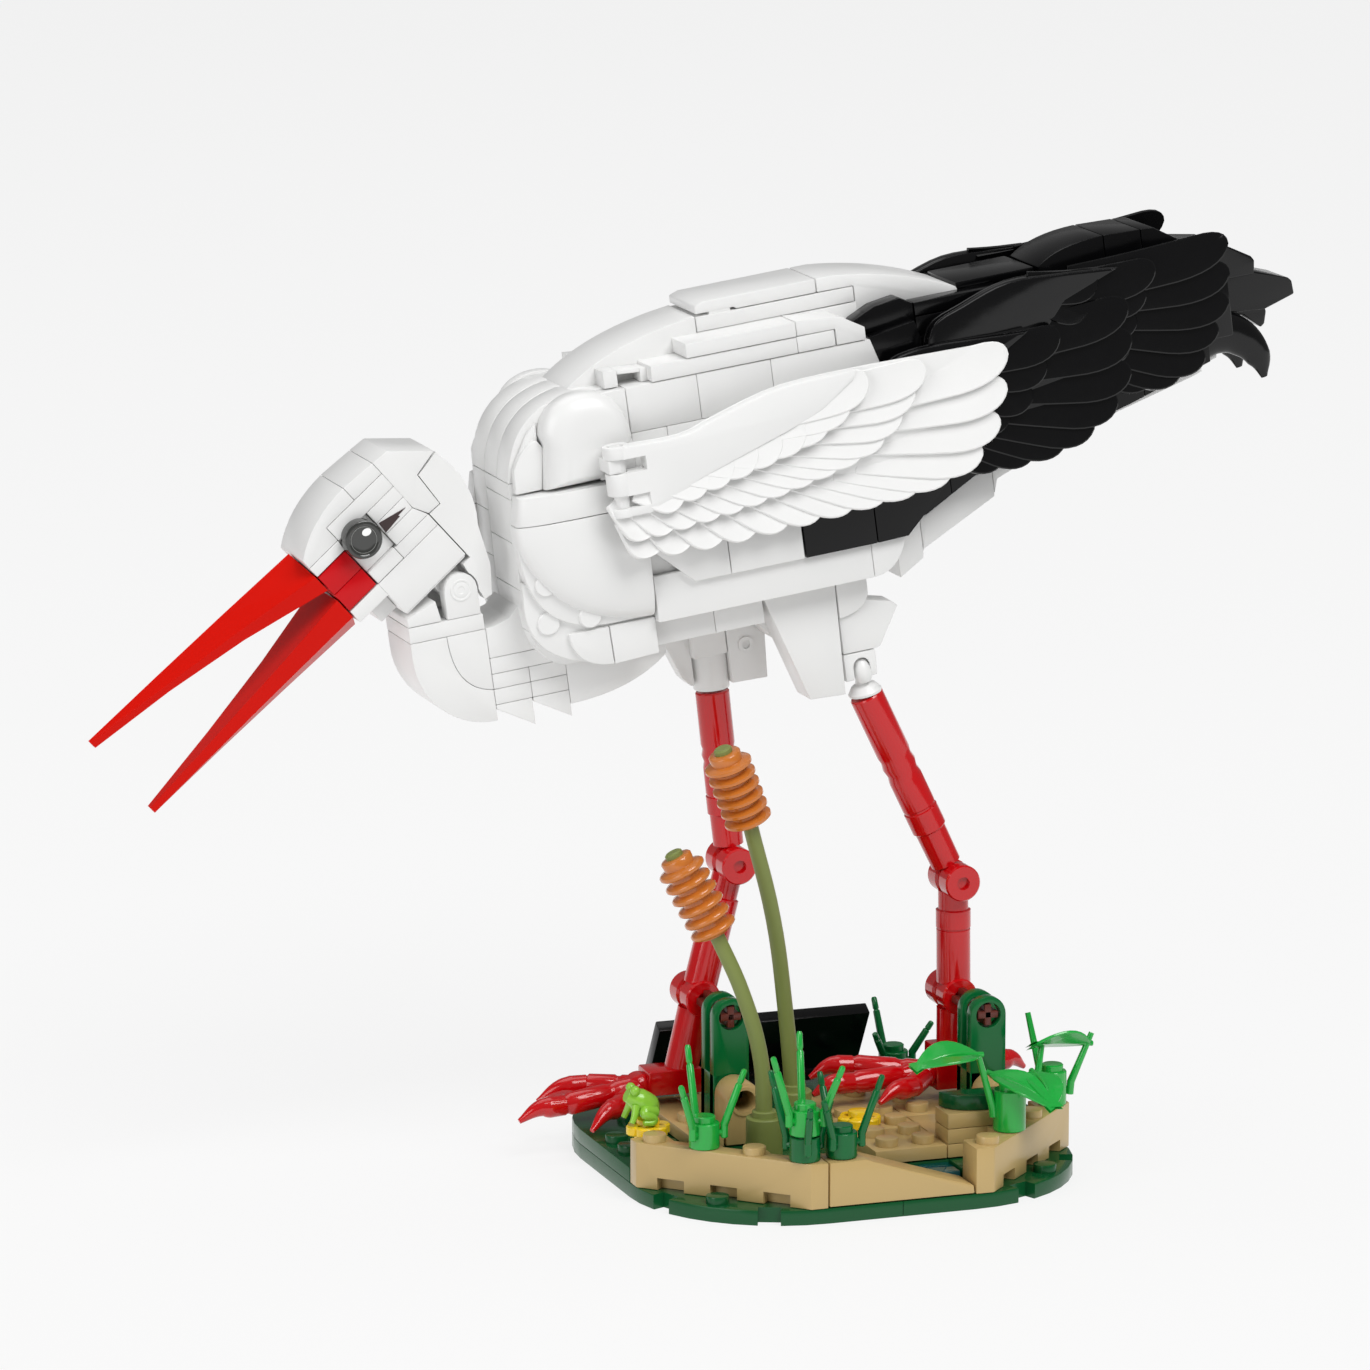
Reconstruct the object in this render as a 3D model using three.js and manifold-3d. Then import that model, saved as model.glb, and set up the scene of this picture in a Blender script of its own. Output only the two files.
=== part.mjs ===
// A brick-built plastic model of a white stork, stepping over a small marsh landscape.
// Millimetres, +Z up.  The origin is the middle of the base, on the table.
// The bird faces -X; its plane of symmetry is parallel to XZ, at Y = BIRD_Y.
import * as THREE from "three";
import { mergeVertices } from "three/addons/utils/BufferGeometryUtils.js";
import Module from "manifold-3d";

const wasm = await Module();
wasm.setup();

// ---- driving dimensions -------------------------------------------------------------------
const STUD = 8; // pitch of the studs
const PLATE = 3.2; // height of one plate
const BRICK = 3 * PLATE; // height of one brick
const STUD_R = 2.4;
const STUD_H = 1.7;
const GAP = 0.3; // free space left between neighbouring nodes
const BAR_R = 1.6; // a bar, as in clips and plant stems
const TUBE_R = 3.6; // the red leg tubes
const HUB_R = 3.9; // the collars at their knees and ankles
const BASE_HALF = 6 * STUD;
const BIRD_Y = 1.5 * STUD; // the bird's plane of symmetry
const BODY_PITCH = THREE.MathUtils.degToRad(7.7); // the trunk slopes down towards the neck
const HEAD_PITCH = THREE.MathUtils.degToRad(42); // the bill points down
const BODY_ORIGIN = new THREE.Vector3(0, BIRD_Y, 120);
const HEAD_ORIGIN = new THREE.Vector3(-80, BIRD_Y, 120);

// ---- plastics -----------------------------------------------------------------------------
const plastic = (color, roughness = 0.25) =>
  new THREE.MeshStandardMaterial({ color, roughness, metalness: 0 });
const WHITE = plastic("#f4f4f2", 0.3);
const BLACK = plastic("#101010", 0.2);
const BEAK_RED = plastic("#d8251c");
const LEG_RED = plastic("#c0141c", 0.18);
const DARK_GREEN = plastic("#12461f");
const SUPPORT_GREEN = plastic("#005f32");
const BRIGHT_GREEN = plastic("#0aa53a");
const TAN = plastic("#bda067", 0.35);
const OLIVE = plastic("#7f8b45", 0.4);
const CATTAIL = plastic("#c97a2b");
const LIME = plastic("#86c232");
const YELLOW = plastic("#f5d020");
const TEAL = plastic("#04565f", 0.1);
const AXLE_BROWN = plastic("#6b2f22");

// ---- solids -------------------------------------------------------------------------------
const V = (x, y, z) => new THREE.Vector3(x, y, z);

function toSolid(geometry) {
  const g = geometry.index ? geometry.toNonIndexed() : geometry.clone();
  const bare = new THREE.BufferGeometry().setAttribute("position", g.getAttribute("position"));
  const merged = mergeVertices(bare, 1e-4);
  return new wasm.Manifold(
    new wasm.Mesh({
      numProp: 3,
      vertProperties: new Float32Array(merged.attributes.position.array),
      triVerts: new Uint32Array(merged.index.array),
    }),
  );
}

function toGeometry(solid) {
  const mesh = solid.getMesh();
  const geometry = new THREE.BufferGeometry();
  geometry.setAttribute("position", new THREE.BufferAttribute(mesh.vertProperties.slice(), 3));
  geometry.setIndex(new THREE.BufferAttribute(mesh.triVerts.slice(), 1));
  return geometry;
}

const join = (...geometries) => toGeometry(geometries.map(toSolid).reduce((a, b) => a.add(b)));

const cut = (geometry, ...tools) =>
  toGeometry(tools.reduce((a, b) => a.subtract(toSolid(b)), toSolid(geometry)));

const shapeOf = (points) => new THREE.Shape(points.map(([x, y]) => new THREE.Vector2(x, y)));

const extrude = (shape, depth, curveSegments = 6) =>
  new THREE.ExtrudeGeometry(shape, { depth, bevelEnabled: false, curveSegments });

// A side view (points in x, z) given the width y0..y1.
function sidePrism(points, y0, y1, curveSegments) {
  const shape = Array.isArray(points) ? shapeOf(points) : points;
  return extrude(shape, y1 - y0, curveSegments).rotateX(Math.PI / 2).translate(0, y1, 0);
}

// A plan (points in x, y) given the height z0..z1.
function planPrism(points, z0, z1, curveSegments) {
  const shape = Array.isArray(points) ? shapeOf(points) : points;
  return extrude(shape, z1 - z0, curveSegments).translate(0, 0, z0);
}

const box = (x0, x1, y0, y1, z0, z1) =>
  new THREE.BoxGeometry(x1 - x0, y1 - y0, z1 - z0)
    .translate((x0 + x1) / 2, (y0 + y1) / 2, (z0 + z1) / 2);

// A cone frustum, or a cylinder, from one point to another.
function rod(from, to, r0, r1 = r0, sides = 10) {
  const axis = to.clone().sub(from);
  const turn = new THREE.Quaternion().setFromUnitVectors(V(0, 1, 0), axis.clone().normalize());
  const middle = from.clone().add(to).multiplyScalar(0.5);
  return new THREE.CylinderGeometry(r1, r0, axis.length(), sides)
    .applyQuaternion(turn)
    .translate(middle.x, middle.y, middle.z);
}

const ball = (at, r) => new THREE.IcosahedronGeometry(r, 1).translate(at.x, at.y, at.z);

// A round-sectioned limb through the points, with a radius at each: one closed skin.
function limb(points, radii, sides = 8) {
  const rings = points.map((point, i) => {
    const before = points[Math.max(0, i - 1)];
    const after = points[Math.min(points.length - 1, i + 1)];
    const along = after.clone().sub(before).normalize();
    const turn = new THREE.Quaternion().setFromUnitVectors(V(0, 0, 1), along);
    const ring = [];
    for (let k = 0; k < sides; k++) {
      const a = (k * 2 * Math.PI) / sides;
      const spoke = V(Math.cos(a), Math.sin(a), 0).multiplyScalar(radii[i]);
      spoke.applyQuaternion(turn).add(point);
      ring.push([spoke.x, spoke.y, spoke.z]);
    }
    return ring;
  });
  return loft(rings);
}

const stud = (x, y, z) => rod(V(x, y, z - 0.4), V(x, y, z + STUD_H), STUD_R, STUD_R, 8);

function signedVolume(geometry) {
  const p = geometry.getAttribute("position");
  const at = (i) => new THREE.Vector3().fromBufferAttribute(p, geometry.index.getX(i));
  let volume = 0;
  for (let i = 0; i < geometry.index.count; i += 3)
    volume += at(i).dot(at(i + 1).cross(at(i + 2))) / 6;
  return volume;
}

// A closed skin over rings of points: each ring is a list of [x, y, z] with the same count.
function loft(rings) {
  const n = rings[0].length;
  const positions = rings.flat(2);
  const index = [];
  for (let r = 0; r + 1 < rings.length; r++) {
    for (let i = 0; i < n; i++) {
      const a = r * n + i;
      const b = r * n + ((i + 1) % n);
      index.push(a, b, a + n, b, b + n, a + n);
    }
  }
  const last = (rings.length - 1) * n;
  for (let i = 1; i + 1 < n; i++) {
    index.push(0, i + 1, i);
    index.push(last, last + i, last + i + 1);
  }
  const geometry = new THREE.BufferGeometry();
  geometry.setAttribute("position", new THREE.Float32BufferAttribute(positions, 3));
  geometry.setIndex(index);
  if (signedVolume(geometry) < 0) geometry.setIndex(index.reverse());
  return geometry;
}

// The same solid on the far side of the plane y = 0.
function mirrorY(geometry) {
  const g = geometry.index ? geometry.toNonIndexed() : geometry.clone();
  const p = g.getAttribute("position");
  for (let i = 0; i < p.count; i++) p.setY(i, -p.getY(i));
  for (let i = 0; i < p.count; i += 3) {
    const [x, y, z] = [p.getX(i), p.getY(i), p.getZ(i)];
    p.setXYZ(i, p.getX(i + 1), p.getY(i + 1), p.getZ(i + 1));
    p.setXYZ(i + 1, x, y, z);
  }
  return g;
}

// ---- the scene graph ----------------------------------------------------------------------
const stork = new THREE.Group();
const base = new THREE.Group();
const body = new THREE.Group(); // x runs back along the trunk, y to the far side, z up from it
const head = new THREE.Group(); // x runs back along the skull, z towards the crown
body.position.copy(BODY_ORIGIN);
body.rotation.y = -BODY_PITCH;
head.position.copy(HEAD_ORIGIN);
head.rotation.y = -HEAD_PITCH;
stork.add(base, body, head);

function put(group, name, geometry, material) {
  const mesh = new THREE.Mesh(geometry, material);
  mesh.name = name;
  group.add(mesh);
}

function putPair(group, name, geometry, material) {
  put(group, name + "_near", geometry, material);
  put(group, name + "_far", mirrorY(geometry), material);
}

// ---- base ---------------------------------------------------------------------------------
const CORNER_R = 4 * STUD;

// The outline of the base: a square of the given half side with its corners cut round.
function roundedSquare(half, radius) {
  const s = new THREE.Shape();
  const c = half - radius;
  s.moveTo(-c, -half);
  s.lineTo(c, -half);
  s.absarc(c, -c, radius, -Math.PI / 2, 0);
  s.lineTo(half, c);
  s.absarc(c, c, radius, 0, Math.PI / 2);
  s.lineTo(-c, half);
  s.absarc(-c, c, radius, Math.PI / 2, Math.PI);
  s.lineTo(-half, -c);
  s.absarc(-c, -c, radius, Math.PI, 1.5 * Math.PI);
  return s;
}

const RIM_TOP = PLATE + BRICK; // top of the tan rim bricks
const RIM_IN = 61; // the diagonal's inner face is where x - y has this value, its outer face at 72
const RIM_LOBE = 3.5; // the rim swells round each stud
const GROUND = 2 * PLATE; // top of the second green layer

// One of the rim's two facet bricks: side = -1 is the left front corner, +1 the right front one.
function rimBrick(side) {
  const z0 = PLATE + GAP;
  const outline = [
    [-48, -16], [-48, -24], [-24, -48], [-16 - GAP, -48],
    [-16 - GAP, -40], [40 - RIM_IN, -40], [-40, 40 - RIM_IN], [-40, -16],
  ];
  let brick = planPrism(outline, z0, RIM_TOP);
  for (let i = 0; i < 4; i++) {
    const [x, y] = [-44 + i * STUD, -20 - i * STUD];
    brick = join(brick, rod(V(x, y, z0), V(x, y, RIM_TOP), RIM_LOBE, RIM_LOBE, 10), stud(x, y, RIM_TOP));
  }
  const trim = box(-16 - GAP, 0, -60, 0, 0, 20);
  brick = cut(brick, trim, box(-70, -48, -60, 0, 0, 20), box(-60, 0, -70, -48, 0, 20));
  for (let i = 0; i < 3; i++) {
    const notch = box(-2.4, 2.4, -1.6, 1.6, -1, PLATE + GAP + 1.9);
    notch.rotateZ(-Math.PI / 4).translate(-43 + i * 7, -29 - i * 7, 0);
    brick = cut(brick, notch);
  }
  return side < 0 ? brick : brick.rotateZ(Math.PI / 2);
}

function buildBase() {
  let lower = planPrism(roundedSquare(BASE_HALF, CORNER_R), 0, PLATE, 5);
  const notch = () => box(-3, 3, -2.4, 2.4, -1, 1.9);
  for (const [x, y, turn] of [[-45.5, -29, 0.9], [-29, -45.5, 0.6], [29, -45.5, -0.6], [45.5, -29, -0.9]])
    lower = cut(lower, notch().rotateZ(turn).translate(x, y, 0));
  // The second layer leaves out the rim's place along the front and the pond's recess.
  const rimRoom = planPrism(
    [[-60, -15.5], [-39.5, -15.5], [-37.5, -19.5], [-19.5, -37.5], [-15.5, -39.5], [15.5, -39.5],
      [19.5, -37.5], [37.5, -19.5], [39.5, -15.5], [60, -15.5], [60, -60], [-60, -60]],
    PLATE, 20,
  );
  const pondRoom = box(3.7, 16.3, -50, -31.7, PLATE, 20);
  const upper = cut(
    planPrism(roundedSquare(BASE_HALF, CORNER_R), PLATE - 0.2, GROUND, 5), rimRoom, pondRoom,
    box(-60, 60, -60, -15.5, PLATE - 1, PLATE),
  );
  const studs = [[-44, -12], [-44, -4], [-44, 4], [-36, 4], [-36, 12], [-28, 36], [30, 36], [36, 28]];
  const plates = join(lower, upper, ...studs.map(([x, y]) => stud(x, y, GROUND)));
  put(base, "base_green", plates, DARK_GREEN);
  put(base, "pond", box(4, 16, -39.7, -32, PLATE + GAP, GROUND - GAP), TEAL);

  put(base, "rim_left", rimBrick(-1), TAN);
  put(base, "rim_right", rimBrick(1), TAN);
  // The bank slides down to a rounded toe beside the pond.
  const bank = new THREE.Shape();
  bank.moveTo(-16, PLATE + GAP);
  bank.lineTo(16 - GAP, PLATE + GAP);
  bank.quadraticCurveTo(16 - GAP, PLATE + 2.4, 13, PLATE + 2.8);
  bank.quadraticCurveTo(2, RIM_TOP - 3.4, -8, RIM_TOP);
  bank.lineTo(-16, RIM_TOP);
  put(base, "rim_bank", join(sidePrism(bank, -48, -40, 5), stud(-12, -44, RIM_TOP)), TAN);

  // Tan plates behind the rim, with studs, and a step of two plates beside the right support.
  const z = GROUND + GAP;
  const ground = join(
    box(0, 40 - GAP, -32, 16, z, BRICK),
    box(16, 32, -32, -24.3, BRICK - 0.2, 16),
    stud(4, -28, BRICK), stud(12, -28, BRICK), stud(4, -20, BRICK), stud(12, -20, BRICK),
    stud(4, -12, BRICK), stud(20, 4, BRICK), stud(12, 12, BRICK),
  );
  const support = box(RIGHT_X - 4 - GAP, RIGHT_X + 4 + GAP, -24 - GAP, -8 + GAP, GROUND, 60);
  const edge = RIM_IN - 2 * GAP;
  const rim = planPrism([[edge - 50, -50], [edge - 10, -10], [60, -10], [60, -50]], 0, 20);
  const scallop = (x) => rod(V(x, x - 64, 0), V(x, x - 64, 20), RIM_LOBE + 2 * GAP);
  const scallops = [20, 28, 36, 44].map(scallop);
  const leftGround = join(
    box(-32, -24.3, -8, 24, z, BRICK), box(-24.4, -8, 8.3, 24, z, BRICK),
    stud(-12, 12, BRICK), stud(-28, 4, BRICK),
  );
  put(base, "ground_left", leftGround, TAN);
  // A rounded plate lies on the step's front.
  const leaf = new THREE.Shape();
  leaf.moveTo(17, -31);
  leaf.lineTo(27, -31);
  leaf.absarc(27, -29, 2, -Math.PI / 2, 0);
  leaf.lineTo(29, -25);
  leaf.lineTo(19, -25);
  leaf.absarc(19, -27, 2, Math.PI / 2, Math.PI);
  const wedge = planPrism(leaf, 15.8, 16 + PLATE, 4);
  put(base, "ground_right", join(cut(ground, support, rim, ...scallops), wedge), TAN);
}

// ---- supports: a green beam with two ears, a tan lug in front and a brown axle ---------------
const AXLE_Z = 32;
const RIGHT_X = 31.2;
const LUG_Z = 16;

function buildSupport(name, x, y0) {
  const foot = GROUND + GAP;
  const profile = new THREE.Shape();
  profile.moveTo(x - 4, foot);
  profile.lineTo(x + 4, foot);
  profile.lineTo(x + 4, AXLE_Z);
  profile.absarc(x, AXLE_Z, 4, 0, Math.PI);
  let beam = sidePrism(profile, y0, y0 + STUD, 6);
  const recess = box(x - 5, x + 5, y0 + 2.6, y0 + 5.4, AXLE_Z - 12, AXLE_Z + 6);
  const hole = rod(V(x, y0 - 1, AXLE_Z), V(x, y0 + 9, AXLE_Z), 2.6);
  beam = cut(beam, recess, hole);
  put(base, name + "_beam", beam, SUPPORT_GREEN);
  const lug = new THREE.Shape();
  lug.moveTo(x - 4, foot);
  lug.lineTo(x + 4, foot);
  lug.lineTo(x + 4, LUG_Z);
  lug.absarc(x, LUG_Z, 4, 0, Math.PI);
  const lugHole = rod(V(x, y0 - 12, LUG_Z), V(x, y0 + 2, LUG_Z), STUD_R);
  put(base, name + "_lug", cut(sidePrism(lug, y0 - STUD, y0 - GAP, 6), lugHole), TAN);
  put(base, name + "_axle", rod(V(x, y0, AXLE_Z), V(x, y0 + 16 - GAP, AXLE_Z), 2.2), AXLE_BROWN);
}

// ---- legs ---------------------------------------------------------------------------------
// top, knee and ankle are [x, z] in the leg's plane y.
function buildLeg(name, y, top, knee, ankle, foot) {
  const at = ([x, z], dy = 0) => V(x, y + dy, z);
  const hub = (p, before, behind) => rod(at(p, -before), at(p, behind), HUB_R);
  const short = (a, b, d) => at(a).lerp(at(b), d / at(a).distanceTo(at(b)));
  put(base, name + "_thigh", rod(at(top), short(knee, top, TUBE_R + GAP), TUBE_R), LEG_RED);
  const inHub = TUBE_R - 0.6;
  const shin = rod(short(knee, ankle, inHub), short(ankle, knee, inHub), TUBE_R);
  put(base, name + "_shin", join(hub(knee, 6, 5), shin, hub(ankle, 4, 8)), LEG_RED);
  put(base, name + "_foot", foot, LEG_RED);
}

// A toe: a round link of one thickness, then a claw that hooks down to its tip.
function toe(knuckle, claw, tip) {
  const r = 2.4;
  const hook = claw.clone().lerp(tip, 0.5).add(V(0, 0, 1));
  return limb([knuckle, claw, hook, tip], [r, r, r * 0.75, 0.7], 6);
}

// The tube under the ankle stands on a block; the toes grow from a knuckle at its front.
function buildFoot(ankle, heel, block, knuckle, toes) {
  const pieces = [rod(ankle, heel, TUBE_R), block, ball(knuckle, 3)];
  for (const [claw, tip, from = knuckle] of toes) pieces.push(toe(from, claw, tip));
  return join(...pieces);
}

function buildLegs() {
  const farKnuckle = V(-33.5, 20, 13.4);
  const farFoot = buildFoot(
    V(-20.4, 20, AXLE_Z - TUBE_R - GAP), V(-24.2, 20, 16),
    box(-32.5, -20.4, 16.2, 23.8, 11.8, 17.2), farKnuckle,
    [
      [V(-51, 19, 11), V(-60.4, 19, 8.4)],
      [V(-43.5, 26.5, 13), V(-53.4, 28, 9.8)],
      [V(-39.5, 13.5, 11.6), V(-48, 8, 8.1)],
    ],
  );
  buildLeg("leg_far", 20, [-17.2, 97.5], [-13.1, 60.5], [-20.4, AXLE_Z], farFoot);
  const nearKnuckle = V(26, 4, 15.4);
  const nearFoot = buildFoot(
    V(RIGHT_X, 4, AXLE_Z - TUBE_R - GAP), V(RIGHT_X, 4, 20),
    box(26, 35, 0.2, 7.8, 12, 21.4), nearKnuckle,
    [
      [V(7, 2, 15), V(-1.5, 1, 13.4)],
      [V(10, 10, 16.6), V(1.5, 11, 14.4)],
      [V(19, -3, 14.2), V(10.5, -7, 12.6)],
      [V(42.5, 7, 15.6), V(49, 8, 13.4), V(34, 5, 16)],
    ],
  );
  buildLeg("leg_near", 4, [11.1, 97.8], [30.9, 57], [RIGHT_X, AXLE_Z], nearFoot);
}

// ---- plants, frog, flowers, reeds and plaque --------------------------------------------------
const roundFoot = (x, y, z0, z1) => rod(V(x, y, z0), V(x, y, z1), 3.9, 3.9, 8);

// Three stems that fan out of a round foot on a stud.
function stemPlant(x, y, z, height, spread, turn) {
  const pieces = [roundFoot(x, y, z, z + BRICK * 0.62)];
  for (let i = 0; i < 3; i++) {
    const a = turn + (i * 2 * Math.PI) / 3;
    const out = (r, h) => V(x + r * Math.cos(a), y + r * Math.sin(a), z + h);
    const route = [out(0.8, 3), out(spread * 0.8, height * 0.75), out(spread, height)];
    pieces.push(limb(route, [1.6, 1.5, 0.9], 6));
  }
  return join(...pieces);
}

// A round foot with a stem and broad drooping leaves.
function leafPlant(x, y, z, leaves) {
  const stem = rod(V(x, y, z + 8), V(x, y, z + 12), BAR_R, BAR_R, 8);
  const pieces = [roundFoot(x, y, z, z + BRICK), stem];
  for (const [angle, reach, rise, width] of leaves) {
    const leaf = new THREE.Shape();
    leaf.moveTo(0, -0.8);
    leaf.quadraticCurveTo(reach * 0.55, -width, reach, 0);
    leaf.quadraticCurveTo(reach * 0.55, width, 0, 0.8);
    const slope = Math.atan2(rise - 11, reach);
    const blade = extrude(leaf, 1, 5).translate(-0.5, 0, -0.5).rotateY(-slope);
    pieces.push(blade.rotateZ(angle).translate(x, y, z + 11));
  }
  return join(...pieces);
}

function buildPlants() {
  const onRim = RIM_TOP + STUD_H + GAP;
  put(base, "stems_left", stemPlant(-36, -28, onRim, 17, 5.5, 2.4), BRIGHT_GREEN);
  const lowRound = roundFoot(-20, -44, onRim, onRim + 7);
  const raised = stemPlant(-20, -44, onRim + 6, 17.5, 5.5, 0.6);
  put(base, "stems_front", join(lowRound, raised), BRIGHT_GREEN);
  put(base, "stems_dark", stemPlant(-12, -44, onRim, 17, 5, -0.3), DARK_GREEN);
  // Leaves: [direction, reach, height of the tip, half width]
  const low = leafPlant(28, -36, onRim, [[0.1, 13, 7, 4], [3.0, 15, 16, 4]]);
  put(base, "leaves_front", low, BRIGHT_GREEN);
  const upright = leafPlant(44, -20, onRim, [[-0.1, 9, 18, 3], [2.6, 9, 19, 3]]);
  put(base, "leaves_right", upright, BRIGHT_GREEN);
  put(base, "stems_back", stemPlant(30, 36, GROUND + STUD_H + GAP, 15.5, 6, 0.2), DARK_GREEN);
  // The yellow flower: a ring of petals on a round foot, and the frog sitting on it.
  const flower = (x, y, z) => {
    const petals = [];
    for (let i = 0; i < 6; i++) {
      const a = (i * Math.PI) / 3;
      const [px, py] = [x + 2.6 * Math.cos(a), y + 2.6 * Math.sin(a)];
      petals.push(rod(V(px, py, z + 1.2), V(px, py, z + PLATE), 2, 2, 8));
    }
    return join(rod(V(x, y, z), V(x, y, z + PLATE), 3, 3, 12), ...petals);
  };
  const fz = GROUND + STUD_H + GAP;
  const flowerFoot = rod(V(-44, -12, fz), V(-44, -12, fz + 4), 3, 3, 12);
  put(base, "flower_frog", join(flower(-44, -12, fz + PLATE), flowerFoot), YELLOW);
  const f = fz + 2 * PLATE + GAP;
  const side = (y, dy) => [
    limb([V(-42, y, f + 2.4), V(-44.5, y + dy, f + 2), V(-42.6, y + dy, f + 0.8)], [1.3, 1.1, 0.8], 5),
    limb([V(-45.6, y + dy, f + 3.8), V(-46.6, y + 2 * dy, f + 0.8)], [0.9, 0.7], 5),
    new THREE.IcosahedronGeometry(1.1, 0).translate(-46, y, f + 6.6),
  ];
  const spine = [V(-41.5, -12, f + 2.2), V(-44.5, -12, f + 4.2), V(-47, -12, f + 5.4)];
  const frog = join(limb(spine, [2.2, 2.6, 1.5], 8), ...side(-13.4, -0.6), ...side(-10.6, 0.6));
  put(base, "frog", frog, LIME);
}

// Two bendy stems, each ending in a ribbed cattail head; their feet are joined by thin strips.
function buildReeds() {
  const z = GROUND + GAP;
  const strip = (x0, x1, y0, y1) => box(x0, x1, y0, y1, z, GROUND + 2);
  const foot = join(
    roundFoot(-20, -20, z, GROUND + BRICK), roundFoot(-7, -2, z, GROUND + BRICK),
    strip(-20, -8, -13, -11), strip(-21, -19, -20, -11), strip(-9, -7, -13, -2),
  );
  put(base, "reed_feet", foot, OLIVE);
  const reeds = [
    ["low", V(-37.6, -15, 70.8),
      [V(-20, -20, 16.3), V(-20.8, -20, 28), V(-24.4, -19, 42), V(-29.5, -17, 54.6)]],
    ["high", V(-24.9, -9, 90.4),
      [V(-7, -2, 16.3), V(-9.4, -3.5, 34), V(-13, -6, 54), V(-18.9, -8, 75)]],
  ];
  for (const [name, top, route] of reeds) {
    const curve = new THREE.CatmullRomCurve3(route);
    const section = new THREE.Shape().absarc(0, 0, 1.7, 0, 2 * Math.PI);
    const sweep = { steps: 10, curveSegments: 4, extrudePath: curve };
    const stem = new THREE.ExtrudeGeometry(section, sweep);
    put(base, "reed_stem_" + name, stem, OLIVE);
    const end = route[route.length - 1];
    const along = top.clone().sub(end).normalize();
    const point = (d) => end.clone().addScaledVector(along, d);
    const length = end.distanceTo(top);
    const turns = 5;
    const points = [point(GAP)];
    const radii = [3.2];
    for (let i = 0; i < turns; i++) {
      for (const [d, r] of [[0.05, 3.6], [0.3, 5], [0.75, 5]]) {
        points.push(point(0.6 + ((i + d) * (length - 1)) / turns));
        radii.push(r);
      }
    }
    points.push(point(length + 0.1), point(length + 0.2), point(length + 2));
    radii.push(3.2, 2, 1.6);
    put(base, "cattail_" + name, limb(points, radii, 8), CATTAIL);
  }
}

function buildPlaque() {
  // A blank tile 6 studs long leans back on a bracket that stands on the green plate.
  const lean = THREE.MathUtils.degToRad(31);
  const leaning = (block) => block.rotateX(lean).translate(0, 45, GROUND + 2.6);
  const tile = leaning(box(-24, 24, -PLATE, 0, 0, 2 * STUD));
  const foot = box(-12, 12, 36, 41, GROUND + GAP, GROUND + 3);
  const post = box(-12, 12, 36, 39, GROUND + GAP, 13);
  const room = leaning(box(-25, 25, -PLATE + 1, 4, -6, 2 * STUD));
  put(base, "plaque", join(cut(join(foot, post), room), tile), BLACK);
}

// ---- trunk (body frame; y = 0 is the plane of symmetry) -----------------------------------------
const HALF = 2 * STUD; // half width of the trunk
const BREAST_HALF = 1.5 * STUD;
const NECK_HALF = STUD;
const v2 = ([x, y]) => new THREE.Vector2(x, y);

function buildTrunk() {
  const core = [
    [-37.7, -2.9], [-14, -2.9], [-13, -0.3], [9, 2.4], [14, 6],
    [17, 11], [17, 49], [13, 52.2], [-37.7, 52.2],
  ];
  const belly = box(-60, 40, -HALF - 1, -BREAST_HALF, -10, 2.9);
  const narrowed = cut(sidePrism(core, -HALF + GAP, HALF - GAP), belly, mirrorY(belly));
  put(body, "trunk", narrowed, WHITE);
  // The planks along the flanks, round at the back, and the row of tiles above them.
  const plank = new THREE.Shape();
  plank.moveTo(-37.7, 3.2);
  plank.lineTo(8.8, 3.2);
  plank.quadraticCurveTo(14.5, 3.4, 16.2, 10.2);
  plank.lineTo(-37.7, 12.8);
  const tiles = [[-38, 20], [-38, 19], [-29.3, 10.6], [-5.2, 10.6], [-5.2, 20]];
  const planks = join(sidePrism(plank, -HALF - 1.6, -HALF, 5), sidePrism(tiles, -HALF - PLATE, -HALF));
  putPair(body, "flank", planks, WHITE);
  const dark = [[-4.9, 13.1], [10.5, 13.1], [17.6, 13.6], [24, 20], [24, 26], [-4.9, 26]];
  putPair(body, "flank_dark", sidePrism(dark, -HALF - PLATE, -HALF), BLACK);

  // The back: a broad step, and on it a flat ridge that runs down to the breast and the tail.
  const step = [
    [-32.3, 52.5], [-32.3, 55.9], [-24.3, 56], [-22.6, 59],
    [1, 59.2], [9.8, 58.3], [15, 55.2], [15, 52.5],
  ];
  const crest = new THREE.Shape();
  crest.moveTo(-48.8, 52.5);
  crest.quadraticCurveTo(-37.5, 60.6, -18.4, 62.4);
  crest.lineTo(-18.4, 64.8);
  crest.lineTo(-14, 65.4);
  crest.lineTo(12, 65.4);
  crest.quadraticCurveTo(28, 64, 40, 57.3);
  crest.lineTo(18, 52.5);
  const back = join(sidePrism(step, -HALF, HALF), sidePrism(crest, -NECK_HALF, NECK_HALF, 8));
  put(body, "back", back, WHITE);
}

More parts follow.
